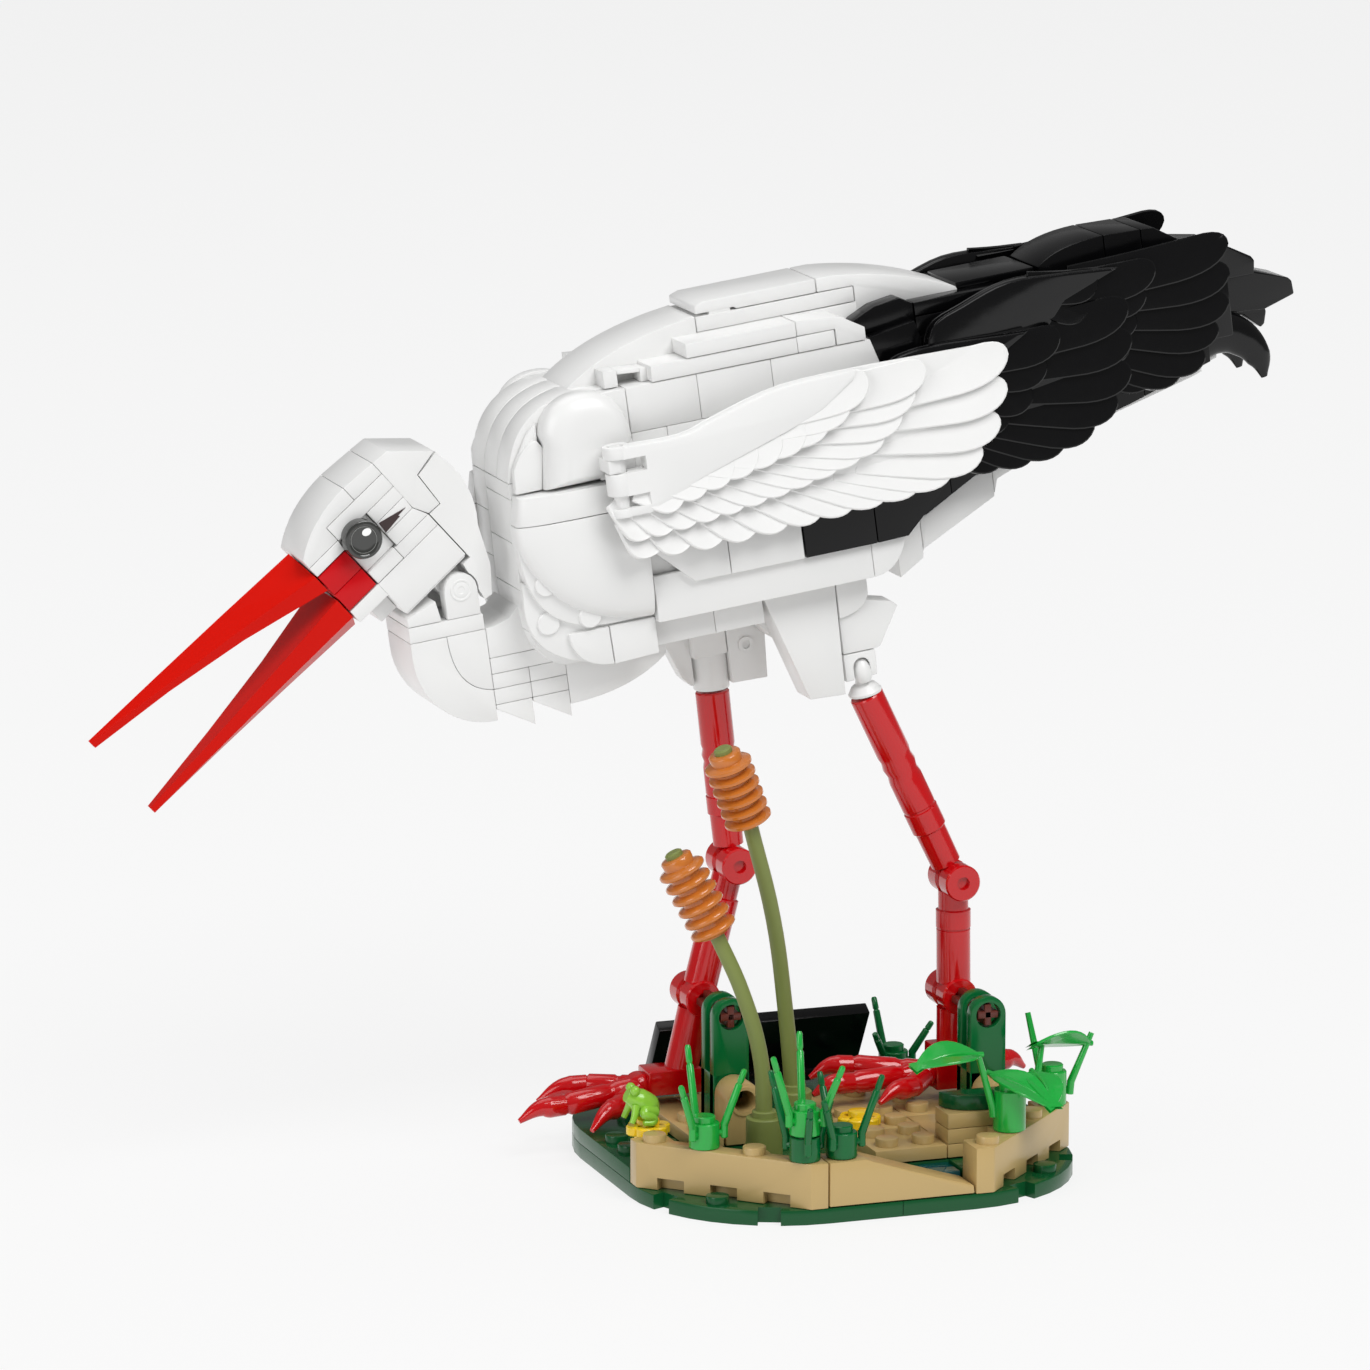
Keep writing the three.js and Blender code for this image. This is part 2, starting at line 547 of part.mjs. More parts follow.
// The deep keel of the breast, narrower than the trunk, and the shells on its sides.
function buildBreast() {
  const front = new THREE.Shape();
  front.moveTo(-37.9, 53);
  front.lineTo(-37.9, -2.9);
  front.lineTo(-57, -2.9);
  front.quadraticCurveTo(-62.5, -1.5, -64, 6);
  front.lineTo(-64.6, 14);
  front.lineTo(-64, 37);
  front.quadraticCurveTo(-62.4, 51, -49, 53);
  const keel = sidePrism(front, -BREAST_HALF, BREAST_HALF, 6);
  const ridgeRoom = box(-52, -37, -NECK_HALF - GAP, NECK_HALF + GAP, 52.2, 60);
  put(body, "breast", cut(keel, ridgeRoom), WHITE);

  // A shell's level sections round off towards their front edge.  Each row is
  // [height, front edge, how far the shell stands out].
  const y0 = -BREAST_HALF - GAP;
  const back = -38.3;
  const section = ([w, edge, out]) => {
    const at = (depth, part) => [edge + depth * (back - edge), y0 - part * out, w];
    const outside = [at(1, 1), at(0.62, 1), at(0.3, 0.86), at(0.1, 0.55), at(0, 0.12)];
    return [[back, y0, w], ...outside, [edge + 0.4, y0, w]];
  };
  const shell = (rows) => loft(rows.map(section));
  const OUT = 7;
  const panel = shell([
    [4.9, -43, 3.5], [6.6, -50, 5.2], [9, -54.6, 6.1], [13, -58.8, 6.7],
    [19, -63, OUT], [24, -64.9, OUT], [34.3, -63.6, OUT],
  ]);
  const lip = [
    [-38.3, -2.9], [-50, -2.9], [-57.5, 0.3], [-62.5, 5.4],
    [-64.4, 12], [-60, 13.4], [-38.3, 5.5],
  ];
  putPair(body, "breast_shell", join(panel, sidePrism(lip, y0 - PLATE, y0)), WHITE);
  const dome = shell([
    [34.7, -57.4, OUT], [44, -56.6, OUT], [48.6, -55.4, 6.2], [51.4, -53, 4.4], [53, -49, 1.6],
  ]);
  const shoulderPlate = sidePrism([[-63.3, 34.7], [-56, 34.7], [-56, 44.5], [-61.6, 43.4]], y0 - 2, y0);
  // A vertical bar for the wing's clip, on an arm from the dome.
  const arm = box(WING_X - BAR_R, -39.5, WING_Y, y0 - OUT + 1, 38.9, 41);
  const bar = rod(V(WING_X, WING_Y, 28.2), V(WING_X, WING_Y, 44.2), BAR_R, BAR_R, 10);
  putPair(body, "shoulder", join(dome, shoulderPlate, arm, bar), WHITE);
}

// The neck comes out under the breast and hooks up to the head.
const PIN_X = -75.8;
const PIN_W = 16.1;
const TONGUE_HALF = 4;

function buildNeck() {
  const s = new THREE.Shape();
  s.moveTo(-88, 10.4);
  s.lineTo(-88, 3.5);
  s.absarc(-72, 3.5, 16, Math.PI, 1.5 * Math.PI);
  s.lineTo(-72, -10);
  s.lineTo(-63.9, -15);
  s.lineTo(-63.9, -10);
  s.lineTo(-55.8, -14.9);
  s.lineTo(-55.8, -12.3);
  s.quadraticCurveTo(-42, -12.2, -33.9, -5.9);
  s.lineTo(-33.9, -3.2);
  s.lineTo(-57, -3.2);
  s.quadraticCurveTo(-63, -1.8, -64.4, 6);
  s.lineTo(-64.9, 9.6);
  s.lineTo(-72, 10.4);
  const column = sidePrism(s, -NECK_HALF, NECK_HALF, 6);
  const rest = sidePrism([[-88, 10.2], [-88, 12.3], [-81.4, 15], [-80.4, 10.2]], -NECK_HALF, NECK_HALF);
  // Two cheeks hold a pin, and the head's tongue turns on it between them.
  const cheek = new THREE.Shape();
  cheek.moveTo(PIN_X - 3.6, 10.2);
  cheek.lineTo(PIN_X + 3.6, 10.2);
  cheek.lineTo(PIN_X + 3.6, PIN_W);
  cheek.absarc(PIN_X, PIN_W, 3.6, 0, Math.PI);
  const near = sidePrism(cheek, -NECK_HALF, -TONGUE_HALF - GAP, 6);
  const pin = rod(V(PIN_X, -NECK_HALF, PIN_W), V(PIN_X, NECK_HALF, PIN_W), BAR_R, BAR_R, 12);
  put(body, "neck", join(column, rest, near, mirrorY(near), pin), WHITE);
}

// ---- head (head frame) ----------------------------------------------------------------------
const HINGE_A = 5.9; // the neck pin, seen from the head
const HINGE_B = 2.5;

function buildHead() {
  const s = new THREE.Shape();
  s.moveTo(-13.6, 26.4);
  s.lineTo(-13.6, 31);
  s.quadraticCurveTo(-7, 36, 3, 36);
  s.lineTo(14.4, 35);
  s.lineTo(21.5, 27.8);
  s.quadraticCurveTo(23.4, 17, 17.6, 9.9);
  s.lineTo(14, 2);
  s.lineTo(10, -2.9);
  s.lineTo(8.3, -2.6);
  s.lineTo(9.3, -0.4);
  s.lineTo(10, 2.5);
  s.lineTo(9, 6.9);
  s.lineTo(-5.5, 6.9);
  s.lineTo(-5.5, 26.4);
  const skull = sidePrism(s, -NECK_HALF, NECK_HALF, 6);
  const tongue = new THREE.Shape();
  tongue.moveTo(HINGE_A + 3.2, 7.5);
  tongue.lineTo(HINGE_A - 3.2, 7.5);
  tongue.lineTo(HINGE_A - 3.2, HINGE_B);
  tongue.absarc(HINGE_A, HINGE_B, 3.2, Math.PI, 2 * Math.PI);
  const bore = rod(V(HINGE_A, -20, HINGE_B), V(HINGE_A, 20, HINGE_B), BAR_R + GAP, BAR_R + GAP, 12);
  const throat = join(
    box(-13.6, -5.4, -NECK_HALF, NECK_HALF, 12.8, 16.1), box(-10, -5.4, -4, 4, 8.2, 13),
  );
  const skullAndTongue = join(skull, throat, sidePrism(tongue, -TONGUE_HALF, TONGUE_HALF, 6));
  put(head, "head", cut(skullAndTongue, bore), WHITE);
  put(head, "cheek", box(-13.6, -5.8, -NECK_HALF, NECK_HALF, 16.4, 26.1), BEAK_RED);
  const eye = rod(V(-1.8, -NECK_HALF - GAP, 26), V(-1.8, -NECK_HALF - PLATE, 26), 4, 4, 16);
  putPair(head, "eye", eye, BLACK);

  // Each half of the bill has a keeled section and narrows a little faster near its root.
  // Each row is [distance from the root, half width, keel, shoulder, flat side].
  const root = -13.9;
  const section = ([d, half, keel, shoulder, flat]) => [
    [root - d, 0, keel], [root - d, -half, shoulder], [root - d, -half, flat],
    [root - d, half, flat], [root - d, half, shoulder],
  ];
  const upper = loft([
    [0, 8, 31.5, 26.6, 22.8], [19, 4.9, 32.3, 29, 26.8],
    [37, 2.7, 32.9, 31, 29.6], [55.6, 0.9, 33.4, 33, 31.6],
  ].map(section));
  put(head, "beak_upper", upper, BEAK_RED);
  const lower = loft([
    [0, 8, 10.6, 14.9, 19.8], [19, 4.9, 11.4, 14, 17.4],
    [37, 2.7, 12, 13.3, 15.7], [56.1, 0.9, 12.4, 12.7, 14.2],
  ].map(section));
  put(head, "beak_lower", lower, BEAK_RED);
}

// ---- wings ----------------------------------------------------------------------------------
const WING_X = -43.8; // the near wing's clip axis
const WING_Y = -22.8;

// A feathered outline: the leading edge, then a row of round feather tips that reach the curve
// through the given points, with notches between them that go in by the given depth.
function feathered(lead, tips, count, depth) {
  const shape = shapeOf(lead);
  const reach = new THREE.SplineCurve(tips.map(v2));
  const out = (t) => {
    const along = reach.getTangentAt(t);
    return new THREE.Vector2(-along.y, along.x);
  };
  const notch = (i) => reach.getPointAt(i / count).addScaledVector(out(i / count), -depth);
  shape.lineTo(notch(0).x, notch(0).y);
  for (let i = 0; i < count; i++) {
    const [a, b, n] = [notch(i), notch(i + 1), out((i + 0.5) / count).multiplyScalar(depth / 0.75)];
    shape.bezierCurveTo(a.x + n.x, a.y + n.y, b.x + n.x, b.y + n.y, b.x, b.y);
  }
  return shape;
}

function buildWings() {
  const root = [[-44.2, 30], [-41, 43.8], [-36, 41.2], [-22, 44.9], [-7, 48.4]];
  const large = [
    [43.2, 48.6], [42.8, 39.6], [37.6, 26.8], [29, 22],
    [8, 19.8], [-22, 17.8], [-42, 18.2], [-46, 25],
  ];
  const middle = [
    [25.5, 47], [20.5, 40], [14, 33.5], [3, 29.3],
    [-14, 25.8], [-28, 23.7], [-41, 21.7], [-45.4, 26],
  ];
  const small = [[13, 48], [5, 40.4], [-4, 36.4], [-16, 33], [-29, 29.2], [-38, 27.8], [-45, 27]];
  const y = WING_Y;
  const layer = (top, trail, count, y0, y1, detail = 2) =>
    sidePrism(feathered([...root, ...top], trail, count, 2.2), y0, y1, detail);
  const hingeRing = (w0, w1) => {
    const ring = rod(V(WING_X, y, w0), V(WING_X, y, w1), 3, 3, 14);
    return join(ring, box(WING_X, -36, y - 1.6, y + 0.9, w0, w1));
  };
  let wing = join(
    layer([[12, 48.9], [40.5, 49.3]], large, 14, y - 0.4, y + 1, 3),
    layer([[12, 48.9], [22, 49]], middle, 12, y - 1.3, y - 0.3),
    layer([[8, 48.6]], small, 9, y - 2.2, y - 1.2),
    hingeRing(41.4, 43.8), hingeRing(34.2, 38.5), hingeRing(28.8, 31),
  );
  const bore = rod(V(WING_X, y, 20), V(WING_X, y, 50), BAR_R + GAP, BAR_R + GAP, 10);
  // Two windows between the clip's fingers.
  const opening = (w0, w1) => box(WING_X - 5, WING_X + 6, y - 6, y + 6, w0, w1);
  wing = cut(wing, bore, opening(38.5, 41.4), opening(31, 34.2));
  putPair(body, "wing", wing, WHITE);

  // The black flight feathers: the same kind of moulding, higher up and behind.
  const blackLead = [[24.5, 30], [24.5, 50.5], [35, 55.6], [45, 58.6], [54, 59.3], [66, 58.3]];
  const blackTips = [[97.2, 58], [97, 50], [91.2, 38.8], [80, 30.6], [61, 23.6], [44, 20.6], [30, 21]];
  const blackMiddle = [[79.7, 58.6], [77.5, 50.7], [73, 43], [60, 36], [46, 31], [34, 28]];
  const y0 = -HALF - 0.6;
  const black = join(
    sidePrism(feathered([...blackLead, [80, 58.4], [93, 59]], blackTips, 10, 2.6), y0, y0 + 1.6, 3),
    sidePrism(feathered([...blackLead, [76, 58.6]], blackMiddle, 7, 2.6), y0 - 1, y0 + 0.1, 2),
  );
  putPair(body, "wing_black", black, BLACK);
}

// ---- rump and tail ----------------------------------------------------------------------------
function buildTail() {
  // A black hull between the flight feathers, with a narrower ridge and a hump on top of it.
  const hull = [
    [17.3, 13], [24.2, 13.3], [36, 19.4], [46, 20.8], [52.5, 22],
    [73, 27], [91.7, 32.4], [91.7, 50], [60, 52], [17.3, 50],
  ];
  const ridge = new THREE.Shape();
  ridge.moveTo(30, 50);
  ridge.lineTo(41, 57.6);
  ridge.lineTo(57, 58.6);
  ridge.quadraticCurveTo(63, 62.6, 74, 62.6);
  ridge.lineTo(83.6, 61.6);
  ridge.lineTo(91.7, 57.5);
  ridge.lineTo(91.7, 48);
  const rumpHalf = BREAST_HALF + 2.4;
  const rump = join(sidePrism(hull, -rumpHalf, rumpHalf), sidePrism(ridge, -NECK_HALF, NECK_HALF, 4));
  const slope = [[18, 50], [18, 57], [24, 59.2], [27, 57.6], [50, 57.8], [50, 50]];
  const nearSlope = sidePrism(slope, -BREAST_HALF - 1, -NECK_HALF - GAP);
  const wingRoom = box(60, 100, -20, -BREAST_HALF, 20, 70);
  const filled = join(rump, nearSlope, mirrorY(nearSlope));
  put(body, "rump_black", cut(filled, wingRoom, mirrorY(wingRoom)), BLACK);

  // White slopes under it, four studs wide and then two.
  const broad = [
    [17.3, 0.4], [23, 3.6], [23.4, 5.5], [40.2, 13.4], [41.3, 17],
    [44, 18], [44, 20.2], [36, 18.9], [24.6, 12.9], [17.3, 12.6],
  ];
  const slim = [
    [38, 14], [42.8, 16], [49, 18.2], [71.5, 24.9], [88.4, 28.9], [96.1, 31.2],
    [96.1, 32.4], [91, 31.8], [73, 26.6], [52.5, 21.6], [38, 19.3],
  ];
  const slopes = join(
    sidePrism(broad, -BREAST_HALF, BREAST_HALF), sidePrism(slim, -NECK_HALF, NECK_HALF),
  );
  const hornRoom = box(91.4, 100, -20, -4.7, 20, 40);
  put(body, "rump_white", cut(slopes, hornRoom, mirrorY(hornRoom)), WHITE);

  // Blunt tail feathers, one above the other, and a pair of hooked ones low at the sides.
  const blade = (u1, w, drop, thick, half) =>
    sidePrism([[92, w], [u1 - 8, w], [u1, w - drop], [u1, w - drop - thick], [92, w - 7]], -half, half);
  const horn = new THREE.Shape();
  horn.moveTo(92, 41);
  horn.quadraticCurveTo(103.6, 40.4, 106.2, 28.6);
  horn.quadraticCurveTo(106.6, 25.4, 104.6, 25.6);
  horn.quadraticCurveTo(100, 28.6, 92, 32.4);
  const tail = join(
    blade(105.6, 56, 4, 3.4, 8), blade(115.2, 49, 4.4, 4.8, 6), blade(108.6, 42, 4.4, 2.8, 4),
    sidePrism(horn, -9.5, -5, 5), sidePrism(horn, 5, 9.5, 5), box(92, 99, -9.5, 9.5, 33, 50),
  );
  put(body, "tail", tail, BLACK);
}

// A place given in the part's own axes, seen from the trunk.
const inBody = (x, y, z) => V(x, y, z).sub(BODY_ORIGIN).applyAxisAngle(V(0, 1, 0), BODY_PITCH);

// Inverted slopes that carry the hips: a ball joint on the near side, a round socket on the far side.
function buildHips() {
  const slope = [[-12.8, -0.6], [3.3, 1.4], [3, -20.7], [-6.5, -19.8]];
  const fin = [[3, 0], [3.1, -12], [11, -13.6], [13.4, -10.5], [16, -4.8], [9.5, -2], [8.6, 1.6]];
  const near = join(
    sidePrism(slope, -12, -4), sidePrism(fin, -11, -5), box(2.8, 10.5, -11, -5, -18.6, -11.5),
    rod(inBody(9.2, 4, 104.6), inBody(10.4, 4, 100), 2.6, 2),
    rod(inBody(10.2, 4, 100.2), inBody(10.9, 4, 98.3), 2, 3.4),
  );
  put(body, "hip_near", near, WHITE);
  const wedge = [[-33.6, -3.2], [-29.4, -10.2], [-25.6, -18.6], [-19, -19.6], [-19, -3.2]];
  const bracket = [[-20, -3.2], [-20, -17], [-8.4, -18.5], [-9.6, -3.2]];
  const socket = rod(inBody(-18.8, 20, 112), inBody(-17.3, 20, 98.1), 4);
  put(body, "hip_far", join(sidePrism(wedge, 5.5, 10.5), sidePrism(bracket, 4, 12), socket), WHITE);
}

buildBase();
buildSupport("support_left", -20, 0);
buildSupport("support_right", RIGHT_X, -16);
buildLegs();
buildPlants();
buildReeds();
buildPlaque();
buildTrunk();
buildBreast();
buildNeck();
buildHead();
buildWings();
buildTail();
buildHips();

export default stork;
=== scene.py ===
"""A brick-built toy stork on its marsh base: the bricks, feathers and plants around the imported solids.

Pieces are modelled in millimetres on one of three benches (the stand, the trunk or the head).  When a
group of bricks is finished it is put in its place, in metres, and rides on its body.
"""
import math

import bpy
from mathutils import Matrix, Vector


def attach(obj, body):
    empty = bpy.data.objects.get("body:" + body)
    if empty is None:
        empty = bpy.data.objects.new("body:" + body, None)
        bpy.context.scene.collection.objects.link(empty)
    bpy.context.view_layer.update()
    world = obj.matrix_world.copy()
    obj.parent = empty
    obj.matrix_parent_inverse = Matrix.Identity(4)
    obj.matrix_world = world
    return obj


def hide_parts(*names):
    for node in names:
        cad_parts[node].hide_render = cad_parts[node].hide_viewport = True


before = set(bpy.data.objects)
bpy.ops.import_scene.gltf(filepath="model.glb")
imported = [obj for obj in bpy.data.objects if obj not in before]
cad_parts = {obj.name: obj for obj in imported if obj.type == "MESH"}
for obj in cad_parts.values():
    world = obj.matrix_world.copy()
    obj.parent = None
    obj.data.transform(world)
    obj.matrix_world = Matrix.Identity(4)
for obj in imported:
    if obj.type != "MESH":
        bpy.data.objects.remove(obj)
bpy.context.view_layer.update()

# ---- driving dimensions, in millimetres ----
MM = 0.001
STUD = 8.0  # pitch of the studs
PLATE = 3.2
BRICK = 3 * PLATE
STUD_R, STUD_H = 2.4, 1.7
SUNK = 0.02  # a stud's foot lies this far inside its brick
BAR_R = 1.6
SEAM = 0.05  # each brick stops this far inside its place
EDGE = 0.16  # the broken edge of a moulded brick
BASE_HALF = 6 * STUD
BIRD_Y = 1.5 * STUD
BODY_PITCH = math.radians(7.7)
HEAD_PITCH = math.radians(42)
NECK_HALF, BREAST_HALF, TRUNK_HALF = STUD, 1.5 * STUD, 2 * STUD
TONGUE_HALF = STUD / 2
EYE, HINGE = (-1.8, 26), (5.9, 2.5)  # the eye and the neck pin, in the head bench's side view
PIN = (-75.8, 16.1)  # the neck pin in the trunk bench's side view
CLIP = (-43.8, -22.8)  # the near wing's upright axis, in the trunk bench's plan
TUBE_R, HUB_R = 3.6, 3.9  # the legs' tubes and joints
LEFT_X, RIGHT_X = -20, 31.2  # the two supports
CORNER_R = 4 * STUD
GROUND = 2 * PLATE  # top of the green plates
RIM_TOP = PLATE + BRICK
AXLE_Z = 2 * BRICK + 4 * PLATE
STEP_TOP = 2 * STUD
ON_RIM = RIM_TOP + STUD_H - 1.6


def bench(origin, pitch):
    return Matrix.Scale(MM, 4) @ Matrix.Translation(origin) @ Matrix.Rotation(-pitch, 4, "Y")


STAND = Matrix.Scale(MM, 4)
TRUNK = bench((0, BIRD_Y, 120), BODY_PITCH)
HEAD = bench((-80, BIRD_Y, 120), HEAD_PITCH)


# ---- the modelling bench ----
def deselect():
    bpy.ops.object.select_all(action="DESELECT")


def pick(piece):
    deselect()
    piece.select_set(True)
    bpy.context.view_layer.objects.active = piece


def edit(select):
    """Opens the active piece and selects the faces that the test picks by centre and normal."""
    bpy.ops.object.mode_set(mode="EDIT")
    bpy.ops.mesh.select_mode(type="FACE")
    bpy.ops.mesh.select_all(action="DESELECT")
    bpy.ops.object.mode_set(mode="OBJECT")
    for face in bpy.context.object.data.polygons:
        face.select = select(face.center, face.normal)
    bpy.ops.object.mode_set(mode="EDIT")


def close_edit():
    bpy.ops.object.mode_set(mode="OBJECT")
    return bpy.context.object


def closed():
    """Closes the edit of a whole shell, with every face looking out."""
    bpy.ops.mesh.select_all(action="SELECT")
    bpy.ops.mesh.normals_make_consistent(inside=False)
    return close_edit()


def everything(*_):
    return True


def apply(piece, kind, **settings):
    pick(piece)
    modifier = piece.modifiers.new(kind.title(), kind)
    for name, value in settings.items():
        setattr(modifier, name, value)
    bpy.ops.object.modifier_apply(modifier=modifier.name)
    return piece


def broken(piece, width=EDGE, segments=2, angle=28):
    """Rounds the sharp edges of a piece over."""
    return apply(
        piece, "BEVEL", width=width, segments=segments, limit_method="ANGLE",
        angle_limit=math.radians(angle), use_clamp_overlap=False, miter_outer="MITER_ARC",
    )


def drawn(outline, push, axis="Y", seam=SEAM, edge=EDGE, start=0.0):
    """A brick from its outline, pushed from start by push along the axis it is drawn across.

    Across Y the outline is a side view (x, z), across Z a plan (x, y).
    """
    points = curved(outline)
    deselect()
    bpy.ops.mesh.primitive_circle_add(vertices=len(points), fill_type="NGON")
    piece = bpy.context.object
    for vertex, (a, b) in zip(piece.data.vertices, points):
        vertex.co = (a, start, b) if axis == "Y" else (a, b, start)
    edit(everything)
    if seam:
        bpy.ops.mesh.inset(thickness=seam, use_even_offset=True)
        bpy.ops.mesh.select_all(action="INVERT")
        bpy.ops.mesh.delete(type="FACE")
        bpy.ops.mesh.select_all(action="SELECT")
    way = (0, push, 0) if axis == "Y" else (0, 0, push)
    bpy.ops.mesh.extrude_region_move(TRANSFORM_OT_translate={"value": way})
    closed()
    return broken(piece, edge) if edge else piece


def side(outline, y0, y1, **more):
    return drawn(outline, y1 - y0 - 2 * SEAM, "Y", start=y0 + SEAM, **more)


def spanning(outline, half, **more):
    """A brick that spans the bird's middle plane."""
    return side(outline, -half, half, **more)


def plan(outline, z0, z1, **more):
    return drawn(outline, z1 - z0, "Z", start=z0, **more)


def brick(x0, x1, y0, y1, z0, z1, edge=EDGE):
    """A plain rectangular brick."""
    deselect()
    bpy.ops.mesh.primitive_cube_add(size=1, location=((x0 + x1) / 2, (y0 + y1) / 2, (z0 + z1) / 2))
    piece = bpy.context.object
    piece.scale = (x1 - x0 - 2 * SEAM, y1 - y0 - 2 * SEAM, z1 - z0 - 2 * SEAM)
    bpy.ops.object.transform_apply(location=True, rotation=True, scale=True)
    return broken(piece, edge) if edge else piece


def turned(stations, sides=24):
    """A round piece up the z axis: a disc pushed up and resized from one (height, radius) to the next."""
    (z, r), *rest = stations
    deselect()
    bpy.ops.mesh.primitive_circle_add(vertices=sides, radius=r, fill_type="NGON", location=(0, 0, z))
    piece = bpy.context.object
    bpy.ops.object.transform_apply(location=True, rotation=True, scale=True)
    edit(everything)
    for z1, r1 in rest:
        bpy.ops.mesh.extrude_region_move(TRANSFORM_OT_translate={"value": (0, 0, z1 - z)})
        bpy.ops.transform.resize(value=(r1 / r, r1 / r, 1), center_override=(0, 0, z1))
        z, r = z1, r1
    return closed()


def rod(r, z0, z1, sides=24):
    return turned([(z0, r), (z1, r)], sides)


def washer(inner, outer, z0, z1, sides=28):
    """A ring up the z axis."""
    return cut(rod(outer, z0, z1, sides), rod(inner, z0 - 1, z1 + 1, sides))


def moved(piece, matrix):
    """Applies a place to the piece's own mesh."""
    pick(piece)
    piece.matrix_world = matrix @ piece.matrix_world
    bpy.ops.object.transform_apply(location=True, rotation=True, scale=True)
    return piece


def shifted(piece, x=0.0, y=0.0, z=0.0):
    return moved(piece, Matrix.Translation((x, y, z)))


def turn(piece, degrees, axis="Z", at=(0, 0, 0)):
    there = Matrix.Translation(at)
    return moved(piece, there @ Matrix.Rotation(math.radians(degrees), 4, axis) @ there.inverted())


def outward(piece, x, y, z):
    """Lays a piece modelled up the z axis so that it points out of the near side at x, y, z."""
    return shifted(turn(piece, 90, "X"), x, y, z)


def aimed(piece, start, end):
    """Stands a piece modelled up the z axis at start, pointing to end."""
    start = Vector(start)
    way = (Vector(end) - start).to_track_quat("Z", "Y").to_matrix().to_4x4()
    return moved(piece, Matrix.Translation(start) @ way)


def copied(piece):
    pick(piece)
    bpy.ops.object.duplicate(linked=False)
    return bpy.context.object


def reflected(piece):
    """Turns a piece into its own mirror image on the far side of the plane y = 0."""
    moved(piece, Matrix.Scale(-1, 4, (0, 1, 0)))
    edit(everything)
    return closed()


def mirrored(piece):
    return reflected(copied(piece))


def joined(pieces):
    pieces = flat(pieces)
    if len(pieces) == 1:
        return pieces[0]
    deselect()
    for piece in pieces:
        piece.select_set(True)
    bpy.context.view_layer.objects.active = pieces[0]
    bpy.ops.object.join()
    return bpy.context.object


def flat(pieces):
    if isinstance(pieces, bpy.types.Object):
        return [pieces]
    return [one for group in pieces for one in flat(group)]


def both(*pieces):
    """The pieces and their mirror images."""
    return [[piece, mirrored(piece)] for piece in flat(pieces)]


def cut(piece, *tools):
    """Cuts the tools out of the piece."""
    for tool in tools:
        apply(piece, "BOOLEAN", operation="DIFFERENCE", object=tool, solver="EXACT")
        bpy.data.objects.remove(tool)
    return piece


def wand(points, radii, sides=6, smooth=True):
    """A round bar that bends through the points, with a radius at each."""
    deselect()
    bpy.ops.curve.primitive_nurbs_path_add()
    bar = bpy.context.object
    bar.data.splines.clear()
    spline = bar.data.splines.new("BEZIER" if smooth else "POLY")
    knots = spline.bezier_points if smooth else spline.points
    knots.add(len(points) - 1)
    for knot, point, r in zip(knots, points, radii):
        knot.co = point if smooth else (*point, 1)
        knot.radius = r
        if smooth:
            knot.handle_left_type = knot.handle_right_type = "AUTO"
    bar.data.dimensions = "3D"
    bar.data.resolution_u = 6
    bar.data.bevel_depth = 1
    bar.data.bevel_resolution = sides
    bar.data.use_fill_caps = True
    bpy.ops.object.convert(target="MESH")
    edit(everything)
    bpy.ops.mesh.remove_doubles(threshold=0.001)
    return closed()


def arc(cx, cz, r, start, end, steps=8):
    """Points on an arc, with its angles in degrees."""
    angles = [math.radians(start + (end - start) * i / steps) for i in range(steps + 1)]
    return [(cx + r * math.cos(a), cz + r * math.sin(a)) for a in angles]


def curved(outline):
    """An outline with its curves drawn out.

    A point with a third number isn't on the outline: it pulls the curve between the points beside it
    towards itself, and the number is the curve's steps.
    """
    points = []
    for i, point in enumerate(outline):
        if len(point) == 2:
            points.append(point)
            continue
        steps = point[2]
        for t in (step / steps for step in range(1, steps)):
            weights = (1 - t) ** 2, 2 * t * (1 - t), t * t
            points.append(tuple(
                sum(w * p[axis] for w, p in zip(weights, outline[i - 1:i + 2])) for axis in (0, 1)
            ))
    return points


def box(x0, x1, z0, z1):
    return [(x0, z0), (x1, z0), (x1, z1), (x0, z1)]


def finished(name, pieces, finish, *nodes, place=STAND, body="stand_and_trunk", slot=None, smooth=35):
    """Joins the pieces, puts them in their place and gives them their finish and body.

    They stand in for the solids of the named nodes.
    """
    piece = joined(pieces)
    piece.name = piece.data.name = name
    moved(piece, place)
    pick(piece)
    bpy.ops.object.shade_smooth_by_angle(angle=math.radians(smooth))
    piece.data.materials.clear()
    piece.data.materials.append(finish)
    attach(piece, body)
    if nodes:
        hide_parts(*nodes)
    return piece


# ---- finishes ----
class Value:
    """A number that varies over a surface: Python's operators on it add Math nodes."""

    def __init__(self, recipe, socket):
        self.recipe, self.socket = recipe, socket

    def maths(self, operation, *values):
        return self.recipe.node("Math", {"operation": operation}, dict(enumerate(values)))

    def __add__(self, other):
        return self.maths("ADD", self, other)

    def __radd__(self, other):
        return self.maths("ADD", other, self)

    def __sub__(self, other):
        return self.maths("SUBTRACT", self, other)

    def __rsub__(self, other):
        return self.maths("SUBTRACT", other, self)

    def __mul__(self, other):
        return self.maths("MULTIPLY", self, other)

    def __rmul__(self, other):
        return self.maths("MULTIPLY", other, self)


